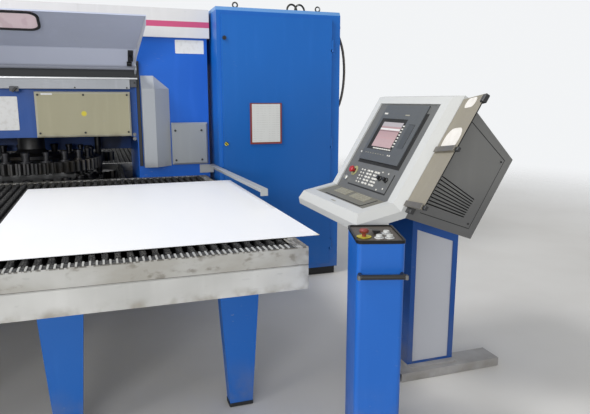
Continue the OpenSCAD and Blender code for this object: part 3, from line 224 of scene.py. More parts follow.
surround = bpy.data.worlds.new("surround")
bpy.context.scene.world = surround
surround.use_nodes = True
sky = Bench(surround.node_tree)
ray = sky.node("ShaderNodeLightPath", output="Is Camera Ray")
seen = (ray + ray.beside("Is Glossy Ray") + ray.beside("Is Transmission Ray")).math("MINIMUM", 1.0)
surround.node_tree.links.new((seen * 0.42 + 0.5).socket, surround.node_tree.nodes["Background"].inputs["Strength"])
surround.node_tree.nodes["Background"].inputs["Color"].default_value = (0.97, 0.985, 1.0, 1.0)


def soft_lamp(name, location, target, size, watts):
    """A rectangular lamp that the eye doesn't see."""
    lamp = bpy.data.objects.new(name, bpy.data.lights.new(name, "AREA"))
    lamp.data.shape = "RECTANGLE"
    lamp.data.size, lamp.data.size_y = size
    lamp.data.energy = watts
    lamp.location = location
    lamp.rotation_euler = (Vector(target) - Vector(location)).to_track_quat("-Z", "Y").to_euler()
    lamp.visible_camera = False
    bpy.context.scene.collection.objects.link(lamp)


soft_lamp("roof_light", (-2.6, -2.9, 7.0), (1.0, -0.9, 1.0), (2.6, 1.8), 330.0)
soft_lamp("window_light", (-10.5, -7.0, 6.0), (1.2, -1.0, 1.1), (5.5, 4.0), 430.0)
soft_lamp("front_light", (-3.5, -12.5, 3.0), (0.6, -0.9, 1.6), (5.5, 2.4), 480.0)

# The ribbed conduit: it leaves the cabinet's right side near the top, hangs in
# a bow and goes back in lower down, on the line that its solids follow.


def fitted(piece, body):
    """Says which body a piece rides on."""
    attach(piece, body)
    return piece


def skin(form, rings, bottom=True, top=True):
    """Faces between rings with as many points each, and over the first and the last of them."""
    for a, b in zip(rings, rings[1:]):
        for k in range(len(a)):
            after = (k + 1) % len(a)
            form.faces.new((a[k], a[after], b[after], b[k]))
    if bottom:
        form.faces.new(rings[0])
    if top:
        form.faces.new(rings[-1])


def meshed(name, form):
    """The form as a mesh, with its faces turned outward."""
    bmesh.ops.recalc_face_normals(form, faces=form.faces)
    mesh = bpy.data.meshes.new(name)
    form.to_mesh(mesh)
    form.free()
    return mesh


cabinet_side, conduit_y, conduit_top = 3.095, -0.670, 2.290
conduit_route = ((0.045, 0.075), (0.048, 0.110), (0.058, 0.145), (0.072, 0.180), (0.086, 0.220), (0.098, 0.270),
                 (0.107, 0.330), (0.112, 0.390), (0.114, 0.450), (0.112, 0.510), (0.107, 0.570), (0.098, 0.630),
                 (0.086, 0.685), (0.070, 0.735), (0.052, 0.772), (0.037, 0.787), (0.024, 0.790))
conduit_radius, conduit_groove, rib_steps = 0.012, 0.0106, 10
route = [Vector((cabinet_side + x, conduit_y, conduit_top - drop)) for x, drop in conduit_route]
line = [a.lerp(b, k / rib_steps) for a, b in zip(route, route[1:]) for k in range(rib_steps)] + [route[-1]]
across = Vector((0.0, 1.0, 0.0))
conduit_sides = 12
conduit_form = bmesh.new()
turns = []
for i, point in enumerate(line):
    way = (line[min(i + 1, len(line) - 1)] - line[max(i - 1, 0)]).normalized()
    beside = across.cross(way)
    radius = conduit_radius if i % 2 == 0 else conduit_groove
    turns.append([conduit_form.verts.new(point + radius * (math.cos(a) * beside + math.sin(a) * across))
                  for a in (2 * math.pi * k / conduit_sides for k in range(conduit_sides))])
skin(conduit_form, turns)
conduit_finish = Finish("conduit_brown", tone(96, 90, 82), rough=0.5, metallic=0.4)
conduit_finish.over(tone(60, 54, 48), conduit_finish.noise(40.0, 3.0).rise(0.4, 0.7) * 0.6)
ribbed_conduit = new_piece("ribbed_conduit", meshed("ribbed_conduit", conduit_form), conduit_finish.done())
fitted(ribbed_conduit, "frame")
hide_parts("conduit")

# The punching frame: two box columns, an upper and a lower beam, welded from
# 40 mm plate and sprayed with blue enamel that has gathered oil mist and dust;
# the beams inside the throat carry painted shade.
frame_blue = tone(14, 92, 190)
shop_dust = tone(120, 116, 106)


def enamel(name, colour, rough=0.42, mottle=0.10, dust=0.35, dust_top=0.9, scuffs=0.25, peel=0.25):
    """Sprayed enamel: orange peel, cloudy wiping marks, dust that thickens to the floor, small scuffs."""
    f = Finish(name, colour)
    f.surface.inputs["Specular IOR Level"].default_value = 0.35
    clouds = f.noise(1.6, 5.0, (1.0, 1.0, 0.6))
    f.over(tuple(c * 0.72 for c in colour[:3]) + (1.0,), clouds.rise(0.38, 0.72) * mottle * 3.0)
    runs = f.noise(5.0, 4.0, (3.0, 3.0, 0.35))
    f.over(tuple(min(1.0, c * 1.25 + 0.02) for c in colour[:3]) + (1.0,), runs.rise(0.52, 0.75) * mottle * 2.0)
    low = f.z.rise(dust_top, 0.0)
    haze = f.noise(9.0, 6.0).rise(0.30, 0.72)
    f.over(shop_dust, low * haze * dust)
    marks = f.noise(22.0, 3.0, (1.0, 1.0, 3.5)).rise(0.66, 0.72) * f.noise(2.3, 2.0).rise(0.50, 0.62)
    f.over(tone(150, 152, 152), marks * scuffs)
    f.rough = f.noise(6.0, 4.0) * 0.22 + (rough - 0.11) + low * haze * 0.25
    f.bump(f.noise(260.0, 1.0), 0.0006, peel)
    return f


dress(enamel("column_blue", frame_blue).done(), "side_columns")
beam_finish = enamel("beam_blue", tone(26, 76, 150), mottle=0.16, dust=0.5)
# Painted shade: inside the throat, between z 0.5 and 1.34, the beams are darkened in patches to near black.
beam_finish.over(tone(24, 26, 28), (beam_finish.noise(3.0, 5.0).rise(0.45, 0.7)
                                    * beam_finish.z.within(0.5, 1.34, 0.1)) * 0.8)
dress(beam_finish.done(), "upper_beam", "lower_beam", "corner_gussets")


def plate(name, material, low, high, radius=0.0, bevel=0.0005, turn=None, pivot=(0, 0, 0)):
    """A thin or thick plate with rounded corners across its thinnest way and softened edges."""
    size = [b - a for a, b in zip(low, high)]
    thin = size.index(min(size))
    wide, tall = [i for i in range(3) if i != thin]
    outline = []
    steps = 6 if radius else 1
    for cx, cy, start in ((high[wide], high[tall], 0), (low[wide], high[tall], 90),
                          (low[wide], low[tall], 180), (high[wide], low[tall], 270)):
        inward = (-1 if cx == high[wide] else 1, -1 if cy == high[tall] else 1)
        for i in range(steps):
            angle = math.radians(start + (90 * i / (steps - 1) if steps > 1 else 45))
            outline.append((cx + inward[0] * radius + radius * math.cos(angle),
                            cy + inward[1] * radius + radius * math.sin(angle)))
    bm = bmesh.new()
    rings = []
    for level in (low[thin], high[thin]):
        ring = []
        for a, b in outline:
            point = [0.0, 0.0, 0.0]
            point[wide], point[tall], point[thin] = a, b, level
            ring.append(bm.verts.new(point))
        rings.append(ring)
    skin(bm, rings)
    bmesh.ops.recalc_face_normals(bm, faces=bm.faces)
    if bevel:
        edges = [e for e in bm.edges if abs(e.verts[0].co[thin] - e.verts[1].co[thin]) < 1e-7]
        bmesh.ops.bevel(bm, geom=edges, offset=bevel, segments=1, affect="EDGES")
    if turn is not None:
        bmesh.ops.rotate(bm, verts=bm.verts, cent=pivot, matrix=turn)
    return new_piece(name, meshed(name, bm), material)


def fix(name, material, low, high, slot_name, body="frame", **form):
    """A plate that rides on a body."""
    return fitted(plate(name, material, low, high, **form), body)


def repeat_shape(name, places, shape, material, body, scale=1.0):
    """Sets one small shape on many places through a node tree, and keeps the result as a plain mesh.

    Each place is (point, turn as an Euler, size along each axis)."""
    seeds = bpy.data.meshes.new(name)
    seeds.from_pydata([p for p, _, _ in places], [], [])
    for key, column in (("turn", 1), ("size", 2)):
        stored = seeds.attributes.new(key, "FLOAT_VECTOR", "POINT")
        stored.data.foreach_set("vector", [v for p in places for v in p[column]])
    piece = new_piece(name, seeds)
    tree = bpy.data.node_groups.new(name, "GeometryNodeTree")
    for label, way, kind in (("Geometry", "INPUT", "NodeSocketGeometry"), ("Shape", "INPUT", "NodeSocketObject"),
                             ("Scale", "INPUT", "NodeSocketFloat"), ("Geometry", "OUTPUT", "NodeSocketGeometry")):
        tree.interface.new_socket(label, in_out=way, socket_type=kind)
    bench = Bench(tree)
    given = bench.node("NodeGroupInput", output="Geometry")
    turn = bench.node("GeometryNodeInputNamedAttribute", {"data_type": "FLOAT_VECTOR"}, {"Name": "turn"})
    size = bench.node("GeometryNodeInputNamedAttribute", {"data_type": "FLOAT_VECTOR"}, {"Name": "size"})
    scaled = bench.node("ShaderNodeVectorMath", {"operation": "SCALE"}, {0: size, "Scale": given.beside("Scale")})
    rotation = bench.node("FunctionNodeEulerToRotation", sockets={0: turn})
    form = bench.node("GeometryNodeObjectInfo", {"transform_space": "ORIGINAL"},
                      {"Object": given.beside("Shape")}, output="Geometry")
    set_out = bench.node("GeometryNodeInstanceOnPoints", sockets={"Points": given, "Instance": form,
                                                                   "Rotation": rotation, "Scale": scaled})
    solid = bench.node("GeometryNodeRealizeInstances", sockets={0: set_out})
    finished = bench.node("GeometryNodeSetMaterial", sockets={"Geometry": solid, "Material": material})
    out = tree.nodes.new("NodeGroupOutput")
    tree.links.new(finished.socket, out.inputs[0])
    modifier = piece.modifiers.new("set_out", "NODES")
    modifier.node_group = tree
    for item in tree.interface.items_tree:
        if item.in_out == "INPUT" and item.name == "Shape":
            modifier[item.identifier] = shape
        if item.in_out == "INPUT" and item.name == "Scale":
            modifier[item.identifier] = scale
    made = bpy.data.meshes.new_from_object(piece.evaluated_get(bpy.context.evaluated_depsgraph_get()))
    piece.modifiers.remove(modifier)
    piece.data = made
    return fitted(piece, body)


def master(name, build):
    """A small shape kept out of sight, to be set on many places."""
    bm = bmesh.new()
    build(bm)
    return bpy.data.objects.new(name, meshed(name, bm))


def ring_stack(bm, rings, sides, top=True, bottom=True):
    """Rings of (radius, height) joined into a turned form."""
    angles = [2 * math.pi * k / sides for k in range(sides)]
    skin(bm, [[bm.verts.new((radius * math.cos(a), radius * math.sin(a), height)) for a in angles]
              for radius, height in rings], bottom, top)


def socket_screw(bm):
    """Unit cap screw: head radius 1, height 0.8, with a dark hexagonal socket."""
    ring_stack(bm, [(1.0, 0.0), (1.0, 0.65), (0.88, 0.8), (0.5, 0.8), (0.45, 0.35)], 12)


def hex_bolt(bm):
    """Unit bolt: a washer and a hexagonal head with a chamfered crown."""
    ring_stack(bm, [(1.35, 0.0), (1.35, 0.14)], 16)
    ring_stack(bm, [(1.0, 0.14), (1.0, 0.75), (0.86, 0.88)], 6)


def steel(name, colour, rough=0.35, metallic=0.9, oil=0.25):
    """Machined steel: fine turning marks, stains of oil and a little tarnish."""
    f = Finish(name, colour, rough=rough, metallic=metallic)
    f.over(tone(70, 62, 50), f.noise(7.0, 5.0).rise(0.5, 0.75) * oil)
    f.over(tone(36, 34, 30), f.noise(31.0, 3.0).rise(0.62, 0.75) * oil)
    f.rough = f.noise(18.0, 4.0) * 0.3 + (rough - 0.12)
    f.bump(f.noise(420.0, 1.0, (1.0, 1.0, 6.0)), 0.0003, 0.3)
    return f


screw_steel = steel("screw_steel", tone(120, 120, 118), rough=0.38).done()
black_screw = Finish("black_screw", tone(26, 26, 27), rough=0.45).done()
cap_screw = master("cap_screw", socket_screw)
bolt_head = master("bolt_head", hex_bolt)
FRONT = (math.radians(90), 0.0, 0.0)
frame_face, just_inside = -0.6, -0.5995


def front_screws(name, y, size, spots, head=cap_screw, material=black_screw):
    """Heads of one size on a face that looks to the front; each spot is (x, z)."""
    repeat_shape(name, [((x, y, z), FRONT, (size, size, size)) for x, z in spots], head, material, "frame")


front_screws("frame_bolts", frame_face, 0.011, ((1.345, 1.31), (1.345, 1.275), (-1.345, 1.31), (-1.345, 1.275)),
             bolt_head, screw_steel)

# The cladding: pressed steel caps over the frame's top, in matt off-white with
# one painted magenta stripe; below it two plates without print on the frame.
cladding = enamel("cladding_white", tone(212, 211, 210), rough=0.5, mottle=0.06, dust=0.0, scuffs=0.1)
cladding.over(tone(192, 78, 118), cladding.z.within(2.184, 2.230, 0.0012)
              * cladding.facing("Z").rise(0.6, 0.3))
cladding.over(tone(140, 134, 122), cladding.facing("Z").rise(0.5, 0.9)
              * cladding.noise(2.2, 5.0).rise(0.30, 0.8) * 0.4)
dress(cladding.done(), "top_cladding")

label_white = Finish("label_white", tone(222, 222, 220), rough=0.35)
label_white.over(tone(196, 193, 186), label_white.noise(30.0, 3.0).rise(0.45, 0.75) * 0.5)
label_white = label_white.done()
for name, low, high in (("column_plate", (1.706, -0.6012, 1.974), (1.944, just_inside, 2.084)),
                        ("service_plate", (0.02, -0.6016, 1.36), (0.48, just_inside, 1.62))):
    fix(name, label_white, low, high, "button_light", radius=0.006)

# The hood's carrier: a folded grey ledge across the front with a bright rail
# along its lip, two ears that hold the hinge pins, an end box and a latch.
# A dark plate of painted shade fills the recess behind the hinge.
ledge = enamel("ledge_grey", tone(176, 179, 183), rough=0.45, mottle=0.12, dust=0.0, scuffs=0.5)
# Painted highlight: the ledge is painted near white along its lip, between z 1.759 and 1.771.
ledge.over(tone(222, 224, 226), ledge.z.within(1.759, 1.771) * 0.9)
# Painted shade: the back of the ledge above z 1.744, under the hood's hinge, is painted dark grey.
ledge.over(tone(52, 52, 52), ledge.y.rise(-0.652, -0.64) * 0.75 * ledge.z.rise(1.70, 1.744))
dress(ledge.done(), "hood_carrier")
# Painted shade: a near-black plate with faint streaks fills the recess behind the hood's hinge.
recess_shade = Finish("painted_recess_shade", tone(34, 36, 38), rough=0.7)
recess_shade.over(tone(78, 82, 80), recess_shade.noise(6.0, 3.0, (0.15, 1.0, 2.0)).rise(0.5, 0.7) * 0.8)
recess_shade = recess_shade.done()
ledge_low, ledge_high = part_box("hood_carrier")
hood_middle = (ledge_low[0] + ledge_high[0]) / 2
rail_left, rail_right = hood_middle - 0.834, hood_middle + 0.834
rail_end, rail_back = rail_right + 0.062, -0.6605
fix("hinge_recess", recess_shade, (rail_left, -0.606, 1.752), (rail_end, just_inside, 1.885), "lock_black")
bright_rail = steel("bright_rail", tone(205, 206, 206), rough=0.3, metallic=0.5, oil=0.1).done()
fix("ledge_rail", bright_rail, (rail_left, -0.6695, 1.7565), (rail_end, rail_back, 1.7685), "ledge_grey", bevel=0.002)
fix("ledge_rail_end", bright_rail, (rail_right + 0.002, rail_back, 1.7565), (rail_end, just_inside, 1.7605),
    "ledge_grey")
box_grey = enamel("end_box_grey", tone(84, 86, 90), mottle=0.1, dust=0.0, scuffs=0.3).done()
fix("ledge_end_box", box_grey, (rail_right + 0.003, -0.655, 1.695), (rail_right + 0.055, just_inside, 1.7555),
    "lock_black", bevel=0.003)
fix("box_button", black_screw, (rail_right + 0.031, -0.662, 1.722), (rail_right + 0.045, -0.655, 1.736),
    "lock_black", radius=0.004)
latch_x, latch_z = 0.475, 1.667
fix("latch_plate", box_grey, (latch_x - 0.035, -0.6655, latch_z - 0.010), (latch_x + 0.030, -0.6595, latch_z + 0.030),
    "lock_black", radius=0.006)
fix("latch_lever", black_screw, (latch_x - 0.010, -0.683, latch_z - 0.020), (latch_x + 0.006, -0.6655, latch_z + 0.022),
    "lock_black", bevel=0.003, turn=Euler((0.0, 0.7, 0.0)).to_matrix(), pivot=(latch_x, -0.67, latch_z))
front_screws("ledge_screws", -0.6595, 0.006, [(x, 1.689) for x in (-0.30, 0.10, 0.907, 1.300)])

# The terminal box cover and the column cover: beige and grey bevelled sheet
# lids held by cap screws, and the folded grey guard beside the throat.
beige = enamel("cover_beige", tone(168, 163, 136), rough=0.55, mottle=0.08, dust=0.0, scuffs=0.15, peel=0.6)
edge_band = 1.0 - beige.x.within(0.622, 1.306, 0.003) * beige.z.within(1.316, 1.642, 0.003)
beige.over(tone(186, 184, 168), edge_band * 0.7)
dot = ((beige.x - 0.962) ** 2.0 + (beige.z - 1.486) ** 2.0).math("SQRT")
beige.over(tone(214, 198, 62), dot.rise(0.026, 0.014) * 0.95)
beige.over(tone(110, 104, 86), beige.z.rise(1.35, 1.30) * beige.noise(9.0, 4.0).rise(0.4, 0.7) * 0.5)
dress(beige.done(), "terminal_box_cover")
front_screws("cover_screws", -0.659, 0.0085, [(x, z) for x in (0.632, 0.964, 1.296) for z in (1.335, 1.632)])
fix("cover_label", label_white, (0.655, -0.6612, 1.632), (0.737, -0.6598, 1.645), "button_light", radius=0.002)

# Painted shade: a thin black strip stands in for the shaded gap beside the guard.
fix("guard_seal", black_screw, (1.377, -0.612, 1.045), (1.404, just_inside, 1.905), "lock_black", bevel=0.002)
guard = enamel("guard_grey", tone(172, 176, 180), rough=0.4, mottle=0.05, dust=0.0, scuffs=0.12)
guard.over(tone(96, 98, 100), guard.z.rise(1.12, 1.03) * guard.noise(8.0, 4.0).rise(0.35, 0.7) * 0.5)
dress(guard.done(), "throat_guard")
side_cover = enamel("column_cover_grey", tone(150, 154, 157), rough=0.45, mottle=0.08, dust=0.0, scuffs=0.2, peel=0.5)
dress(side_cover.done(), "column_cover")
front_screws("column_cover_screws", -0.639, 0.009, [(x, z) for x in (1.676, 1.897) for z in (1.087, 1.338)])

# The throat's shade plate: a dark plate of painted shade that hangs under the
# upper beam behind the turret, so that the throat looks as dark as it does
# between the two beams.
fix("rear_apron", beam_finish.material, (-0.10, 0.56, 1.105), (1.369, 0.5995, 1.2995), "frame_blue", bevel=0.002)

# The turret drive: two geared discs with their bushes, the tools and dies in
# their bores, the pinion shaft with its motor, and the striker's cylinder.
gear_steel = steel("gear_steel", tone(66, 66, 66), rough=0.42, oil=0.6)
dress(gear_steel.done(), "upper_turret", "lower_turret", "drive_shaft")
dress(steel("tool_black", tone(58, 58, 60), rough=0.36, oil=0.4).done(), "punch_tools", "die_set")
dress(steel("bush_bronze", tone(170, 128, 70), rough=0.4, oil=0.5).done(), "turret_bearings")
dress(enamel("motor_grey", tone(70, 80, 88), rough=0.5, dust=0.0).done(), "turret_motor")
dress(steel("cylinder_steel", tone(60, 60, 60), rough=0.4, oil=0.45).done(), "ram_cylinder")
dress(steel("rod_chrome", tone(190, 192, 194), rough=0.12, oil=0.15).done(), "ram")

# The hood: a bent and welded sheet that stands open over the throat, grey
# lavender inside, with a rubber-edged plastic window and the small fittings of
# its strut on the inner face. The window's pale pink haze and faint glow are
# painted light, standing in for the bright view through it.
hood_paint = enamel("hood_lavender", tone(180, 186, 205), rough=0.42, mottle=0.06, dust=0.0, scuffs=0.15)
# Painted light: the hood's lower facet, below z 1.975, is painted lighter as it faces more into the light.
hood_paint.over(tone(196, 201, 217), hood_paint.z.rise(1.978, 1.972) * 0.75)
hood_paint.over(tone(205, 206, 208), hood_paint.facing("X").math("ABSOLUTE").rise(0.7, 0.95) * 0.7)
# Painted shade: the hood is painted darker next to its hinge, below z 1.87.
hood_paint.over(tone(104, 106, 112), hood_paint.z.rise(1.87, 1.845) * 0.7)
spots = hood_paint.cells(7.0, (1.0, 1.0, 1.0)).rise(0.045, 0.03)
hood_paint.over(tone(60, 58, 60), spots * hood_paint.noise(3.0).rise(0.5, 0.6) * 0.9)
dress(hood_paint.done(), "hood_shell")


def on_face(face, name, material, low, high, radius=0.0, bevel=0.0, body="frame"):
    """A plate laid out in the measures of one face, and set where that face is."""
    piece = plate(name, material, low, high, radius, bevel)
    piece.data.transform(face)
    return fitted(piece, body)


hood_half, hinge_y, hinge_z = 0.868, -0.7, 1.843
open_cosine, open_sine = 0.7147, 0.6994
strut_frame = (Matrix.Translation((hood_middle + hood_half, hinge_y, hinge_z))
               @ Matrix(((1.0, 0.0, 0.0), (0.0, -open_cosine, -open_sine), (0.0, open_sine, -open_cosine))).to_4x4())
for name, low, high in (("strut_bracket", (-0.044, 0.075, 0.0002), (-0.004, 0.185, 0.010)),
                        ("strut_foot", (-0.052, 0.035, 0.0002), (-0.014, 0.070, 0.022)),
                        ("strut_pin", (-0.034, 0.112, 0.010), (-0.012, 0.136, 0.042))):
    on_face(strut_frame, name, black_screw, low, high, bevel=0.003, body="hood")
rubber = Finish("black_rubber", tone(24, 24, 26), rough=0.62)
rubber.over(tone(66, 64, 60), rubber.noise(40.0, 4.0).rise(0.5, 0.8) * 0.5)
rubber.bump(rubber.noise(300.0, 2.0), 0.0005, 0.3)
rubber = rubber.done()
dress(rubber, "hood_gasket", "leg_feet")
# Painted light: the window's pale pink tones, streaks and faint emission stand in for the bright view through it.
glowing_glazing = Finish("painted_view_glazing", tone(232, 212, 216), rough=0.35)
glowing_glazing.over(tone(240, 236, 234), glowing_glazing.noise(3.0, 4.0, (0.5, 1.0, 2.0)).rise(0.42, 0.7) * 0.7)
glowing_glazing.over(tone(206, 178, 186), glowing_glazing.noise(5.0, 3.0, (3.0, 1.0, 0.4)).rise(0.55, 0.68) * 0.5)
glowing_glazing.surface.inputs["Alpha"].default_value = 0.95
glowing_glazing.surface.inputs["Emission Color"].default_value = tone(240, 216, 220)
glowing_glazing.surface.inputs["Emission Strength"].default_value = 0.14
dress(glowing_glazing.done(), "hood_window")

# The loading tables: channel rails welded round a deck on blue legs, the
# enamel of the rails worn to grey and brown where sheets drag over them.
rail = enamel("rail_worn", tone(184, 184, 181), rough=0.5, mottle=0.10, dust=0.3, dust_top=1.2, scuffs=0.5)
upper = rail.z.rise(0.860, 0.866)
rail.over(tone(154, 151, 143), upper * (rail.noise(3.5, 5.0, (1.0, 1.0, 2.0)).rise(0.30, 0.62) * 0.75 + 0.12))
rail.over(tone(92, 84, 70), upper * rail.noise(16.0, 6.0, (1.0, 1.0, 1.6)).rise(0.55, 0.72) * 0.55)
rail.over(tone(214, 214, 212), rail.z.rise(0.864, 0.855) * rail.noise(2.0, 3.0).rise(0.3, 0.6) * 0.5)
rail.over(tone(126, 118, 102), rail.z.rise(0.80, 0.75) * rail.noise(11.0, 5.0).rise(0.42, 0.7) * 0.7)
rail.over(tone(88, 80, 66), rail.x.rise(1.80, 1.93) * rail.noise(6.0, 6.0).rise(0.35, 0.65) * 0.7)
rail.over(tone(50, 46, 42), rail.z.within(0.8622, 0.8652, 0.0006) * 0.8)
rail.over(tone(70, 66, 58), rail.z.rise(0.938, 0.944) * rail.noise(60.0, 2.0, (1.0, 0.3, 0.3)).rise(0.42, 0.55) * 0.8)
dress(rail.done(), "table_frames")
dress(enamel("guard_rail_white", tone(166, 169, 170), mottle=0.08, dust=0.0, scuffs=0.6).done(), "side_guard_rail")
dress(enamel("leg_blue", tone(20, 94, 176), mottle=0.12, dust=0.5, dust_top=0.3, scuffs=0.5).done(), "table_legs")

# The brush beds: strips of black bristle set in plates, on which the sheet
# slides without a scratch, and a pale comb over the near rail.
bristle = Finish("bristle_black", tone(22, 22, 23), rough=0.75)
bristle.over(tone(120, 118, 112), bristle.z.rise(0.938, 0.951) * bristle.noise(90.0, 2.0).rise(0.45, 0.7) * 0.7)
bristle.over(tone(84, 80, 72), bristle.noise(25.0, 3.0).rise(0.6, 0.8) * 0.5)
bristle = bristle.done()


def square(bm, half, height, x=0.0, y=0.0):
    return [bm.verts.new((x + half * sx, y + half * sy, height)) for sx, sy in ((-1, -1), (1, -1), (1, 1), (-1, 1))]


def tuft(bm):
    """Unit tuft, one high: a block, and four blades that lean out over it like a worn brush."""
    skin(bm, [square(bm, 0.45, 0.0), square(bm, 0.42, 0.62)], bottom=False)
    for lean, turn in ((0.22, 0.4), (0.20, 1.7), (0.24, 2.9), (0.21, 4.3)):
        x, y = lean * math.cos(turn), lean * math.sin(turn)
        skin(bm, [square(bm, 0.30, 0.55, x * 0.5, y * 0.5), square(bm, 0.12, 1.0 - lean * 0.3, x * 1.8, y * 1.8)],
             bottom=False)


bristle_tuft = master("bristle_tuft", tuft)
brush_width, brush_pitch, tuft_pitch = 0.026, 0.052, 0.024
deck_height, base_height, brush_top, droop = 0.900, 0.012, 0.950, 0.0008


def brush_field(name, x0, x1, y0, y1):
    """Strips of tufts between two sides, on the plate that they are set in, the strips along Y."""
    count = math.floor((x1 - x0 - brush_width) / brush_pitch + 1e-9)
    first = x0 + (x1 - x0 - brush_width - count * brush_pitch) / 2 + brush_width / 2
    rows = max(1, round((y1 - y0) / tuft_pitch))
    step = (y1 - y0) / rows
    places = []
    for i in range(count + 1):
        for j in range(rows):
            spin = (i * 7 + j * 13) % 11 * 0.571
            height = brush_top - deck_height - base_height - droop - droop * ((i * 5 + j * 3) % 4)
            places.append(((first + i * brush_pitch, y0 + (j + 0.5) * step, deck_height + base_height),
                           (0.0, 0.0, spin * 0.12), (brush_width * 0.98, step * 0.98, height)))
    tufts = repeat_shape(name + "_tufts", places, bristle_tuft, bristle, "frame")
    return [tufts, fix(name + "_plate", bristle, (x0, y0, deck_height), (x1, y1, deck_height + base_height),
                       "brush_black")]


beds = []
for side, y0, y1 in (("near", -3.1497, -0.6603), ("rear", 0.6603, 3.1497)):
    for half, x0, x1 in (("left", -1.8697, 0.0), ("right", 0.0, 1.8697)):
        beds += brush_field(f"{side}_{half}_brushes", x0, x1, y0, y1)
beds += brush_field("throat_left_brushes", -1.265, -0.160, -0.570, 0.570)
beds += brush_field("throat_right_brushes", 1.211, 1.265, -0.570, 0.570)
cheeks = []
for i, (x0, x1) in enumerate(((-1.265, -1.257), (-0.168, -0.160), (1.211, 1.219), (1.257, 1.265))):
    cheeks.append(fix(f"throat_bed_side_{i}", bristle, (x0, -0.570, 0.700), (x1, 0.570, deck_height), "brush_black"))
for piece in beds + cheeks:
    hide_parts("brush_beds")

comb_grey = enamel("comb_grey", tone(178, 178, 174), mottle=0.15, dust=0.0, scuffs=0.4).done()
tooth = master("comb_tooth", lambda bm: bmesh.ops.create_cube(bm, size=1.0))
near_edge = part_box("table_frames")[0][1]
comb_start = near_edge + 0.002
comb_reach, comb_first, comb_pitch, comb_count = 0.058, -1.853, 0.026, 143
fix("comb_bed", bristle, (-1.866, comb_start, 0.9458), (1.866, near_edge + comb_reach, 0.9466), "brush_black",
    bevel=0.0)
teeth = [((comb_first + i * comb_pitch, comb_start + comb_reach / 2, 0.9482), (0.0, 0.0, 0.0),
          (0.008, comb_reach, 0.004)) for i in range(comb_count)]
repeat_shape("comb_teeth", teeth, tooth, comb_grey, "frame")

# The blank: a bright sheet of coated steel that lies on the brushes with a
# film over it; a pale ochre painted highlight lies on its near right corner.
blank = Finish("coated_sheet", tone(250, 250, 250), rough=0.42)
blank.over(tone(243, 245, 249), blank.noise(1.3, 3.0, (1.0, 0.4, 1.0)).rise(0.35, 0.7) * 0.6)
# Painted highlight: the pale ochre patch on the sheet's near right corner.
blank.over(tone(225, 210, 160), blank.x.rise(2.02, 2.05) * blank.y.rise(-2.99, -3.03) * 0.8)
dress(blank.done(), "sheet_blank")

# The coordinate drive: a white box beam on two trolleys that carries the grey
# clamp carriage with its blued jaws and fingers.
dress(enamel("beam_white", tone(198, 200, 200), mottle=0.08, dust=0.0, scuffs=0.3).done(), "cross_beam")
dress(enamel("carriage_grey", tone(120, 126, 132), mottle=0.1, dust=0.0, scuffs=0.4).done(), "clamp_carriage")
dress(steel("jaw_blued", tone(70, 72, 78), rough=0.35).done(), "clamp_jaw_front", "clamp_jaw_rear", "clamp_fingers")

# The control cabinet: folded steel shell and door in the machine's blue, a
# near-black band along the shell's foot, quarter-turn locks and a red-brown
# pocket for the papers.
cabinet = enamel("cabinet_blue", tone(18, 98, 182), rough=0.36, mottle=0.07, dust=0.25, dust_top=0.5, scuffs=0.1)
# The shell is painted near black below z 0.07.
cabinet.over(tone(22, 22, 24), cabinet.z.rise(0.074, 0.069))
# Painted highlight: the cabinet's top, above z 2.303, is painted a lighter blue.
cabinet.over(tone(112, 158, 205), cabinet.z.rise(2.303, 2.309) * 0.7)
dress(cabinet.done(), "cabinet_shell")
door = enamel("door_blue", tone(16, 98, 182), rough=0.34, mottle=0.06, dust=0.2, dust_top=0.4, scuffs=0.08)
# Painted shade: the door is painted a darker blue towards its foot.
door.over(tone(10, 80, 150), door.z.rise(2.1, 1.1) * 0.6)
dress(door.done(), "cabinet_door")
dress(Finish("lock_black", tone(22, 22, 23), rough=0.4).done(), "upper_lock")
lock = Finish("lock_yellow", tone(205, 190, 40), rough=0.4)
lock.over(tone(20, 20, 20), ((lock.x + lock.z) / 0.022).math("FRACT").rise(0.49, 0.51))
dress(lock.done(), "lower_lock")
holder = Finish("holder_red_brown", tone(122, 48, 40), rough=0.42)
holder.over(tone(88, 34, 30), holder.noise(6.0, 4.0).rise(0.4, 0.7) * 0.6)
dress(holder.done(), "document_holder")
paper = Finish("paper_white", tone(202, 203, 200), rough=0.8)
paper.over(tone(176, 176, 172), paper.z.repeat(0.019).rise(0.0065, 0.0075)
           * paper.noise(90.0, 2.0, (1.0, 1.0, 0.05)).rise(0.45, 0.5) * 0.45)
fix("holder_paper", paper.done(), (2.2875, -0.8682, 1.2405), (2.5345, -0.8672, 1.560), "button_light", "cabinet_door",
    radius=0.001, bevel=0.0)
dress(steel("galvanised", tone(176, 180, 176), rough=0.5, oil=0.1).done(), "mounting_plate")
fitting = steel("fitting_dark", tone(66, 66, 62), rough=0.45, oil=0.5)
fitting.over(tone(180, 180, 176), fitting.noise(24.0, 2.0).rise(0.58, 0.68) * 0.6)
dress(fitting.done(), "cabinet_fittings")

# The hydraulic unit behind the cabinet: a folded tank with its lid, pump
# motor, valve block and two pipes to the column, all in machine grey.
unit_grey = enamel("hydraulic_grey", tone(104, 112, 118), mottle=0.15, dust=0.5, dust_top=0.8, scuffs=0.4)
dress(unit_grey.done(), "hydraulic_unit")

# The console: a white frame round the dark fascia, a grey sheet housing behind
# it with a louvred side, all on a blue stand. Small parts are laid out as
# (way up, along Y, height) and turned onto the desk or the slope.
console_nose = Vector((2.222, 0.0, 1.055))
console_fold = Vector((2.411, 0.0, 1.095))
console_crown = Vector((2.717, 0.0, 1.608))
fascia_depth = 0.008


def face_frame(low, high):
    up = (high - low).normalized()
    out = Vector((-up.z, 0.0, up.x))
    return Matrix.Translation(low) @ Matrix((up, Vector((0.0, 1.0, 0.0)), out)).transposed().to_4x4()


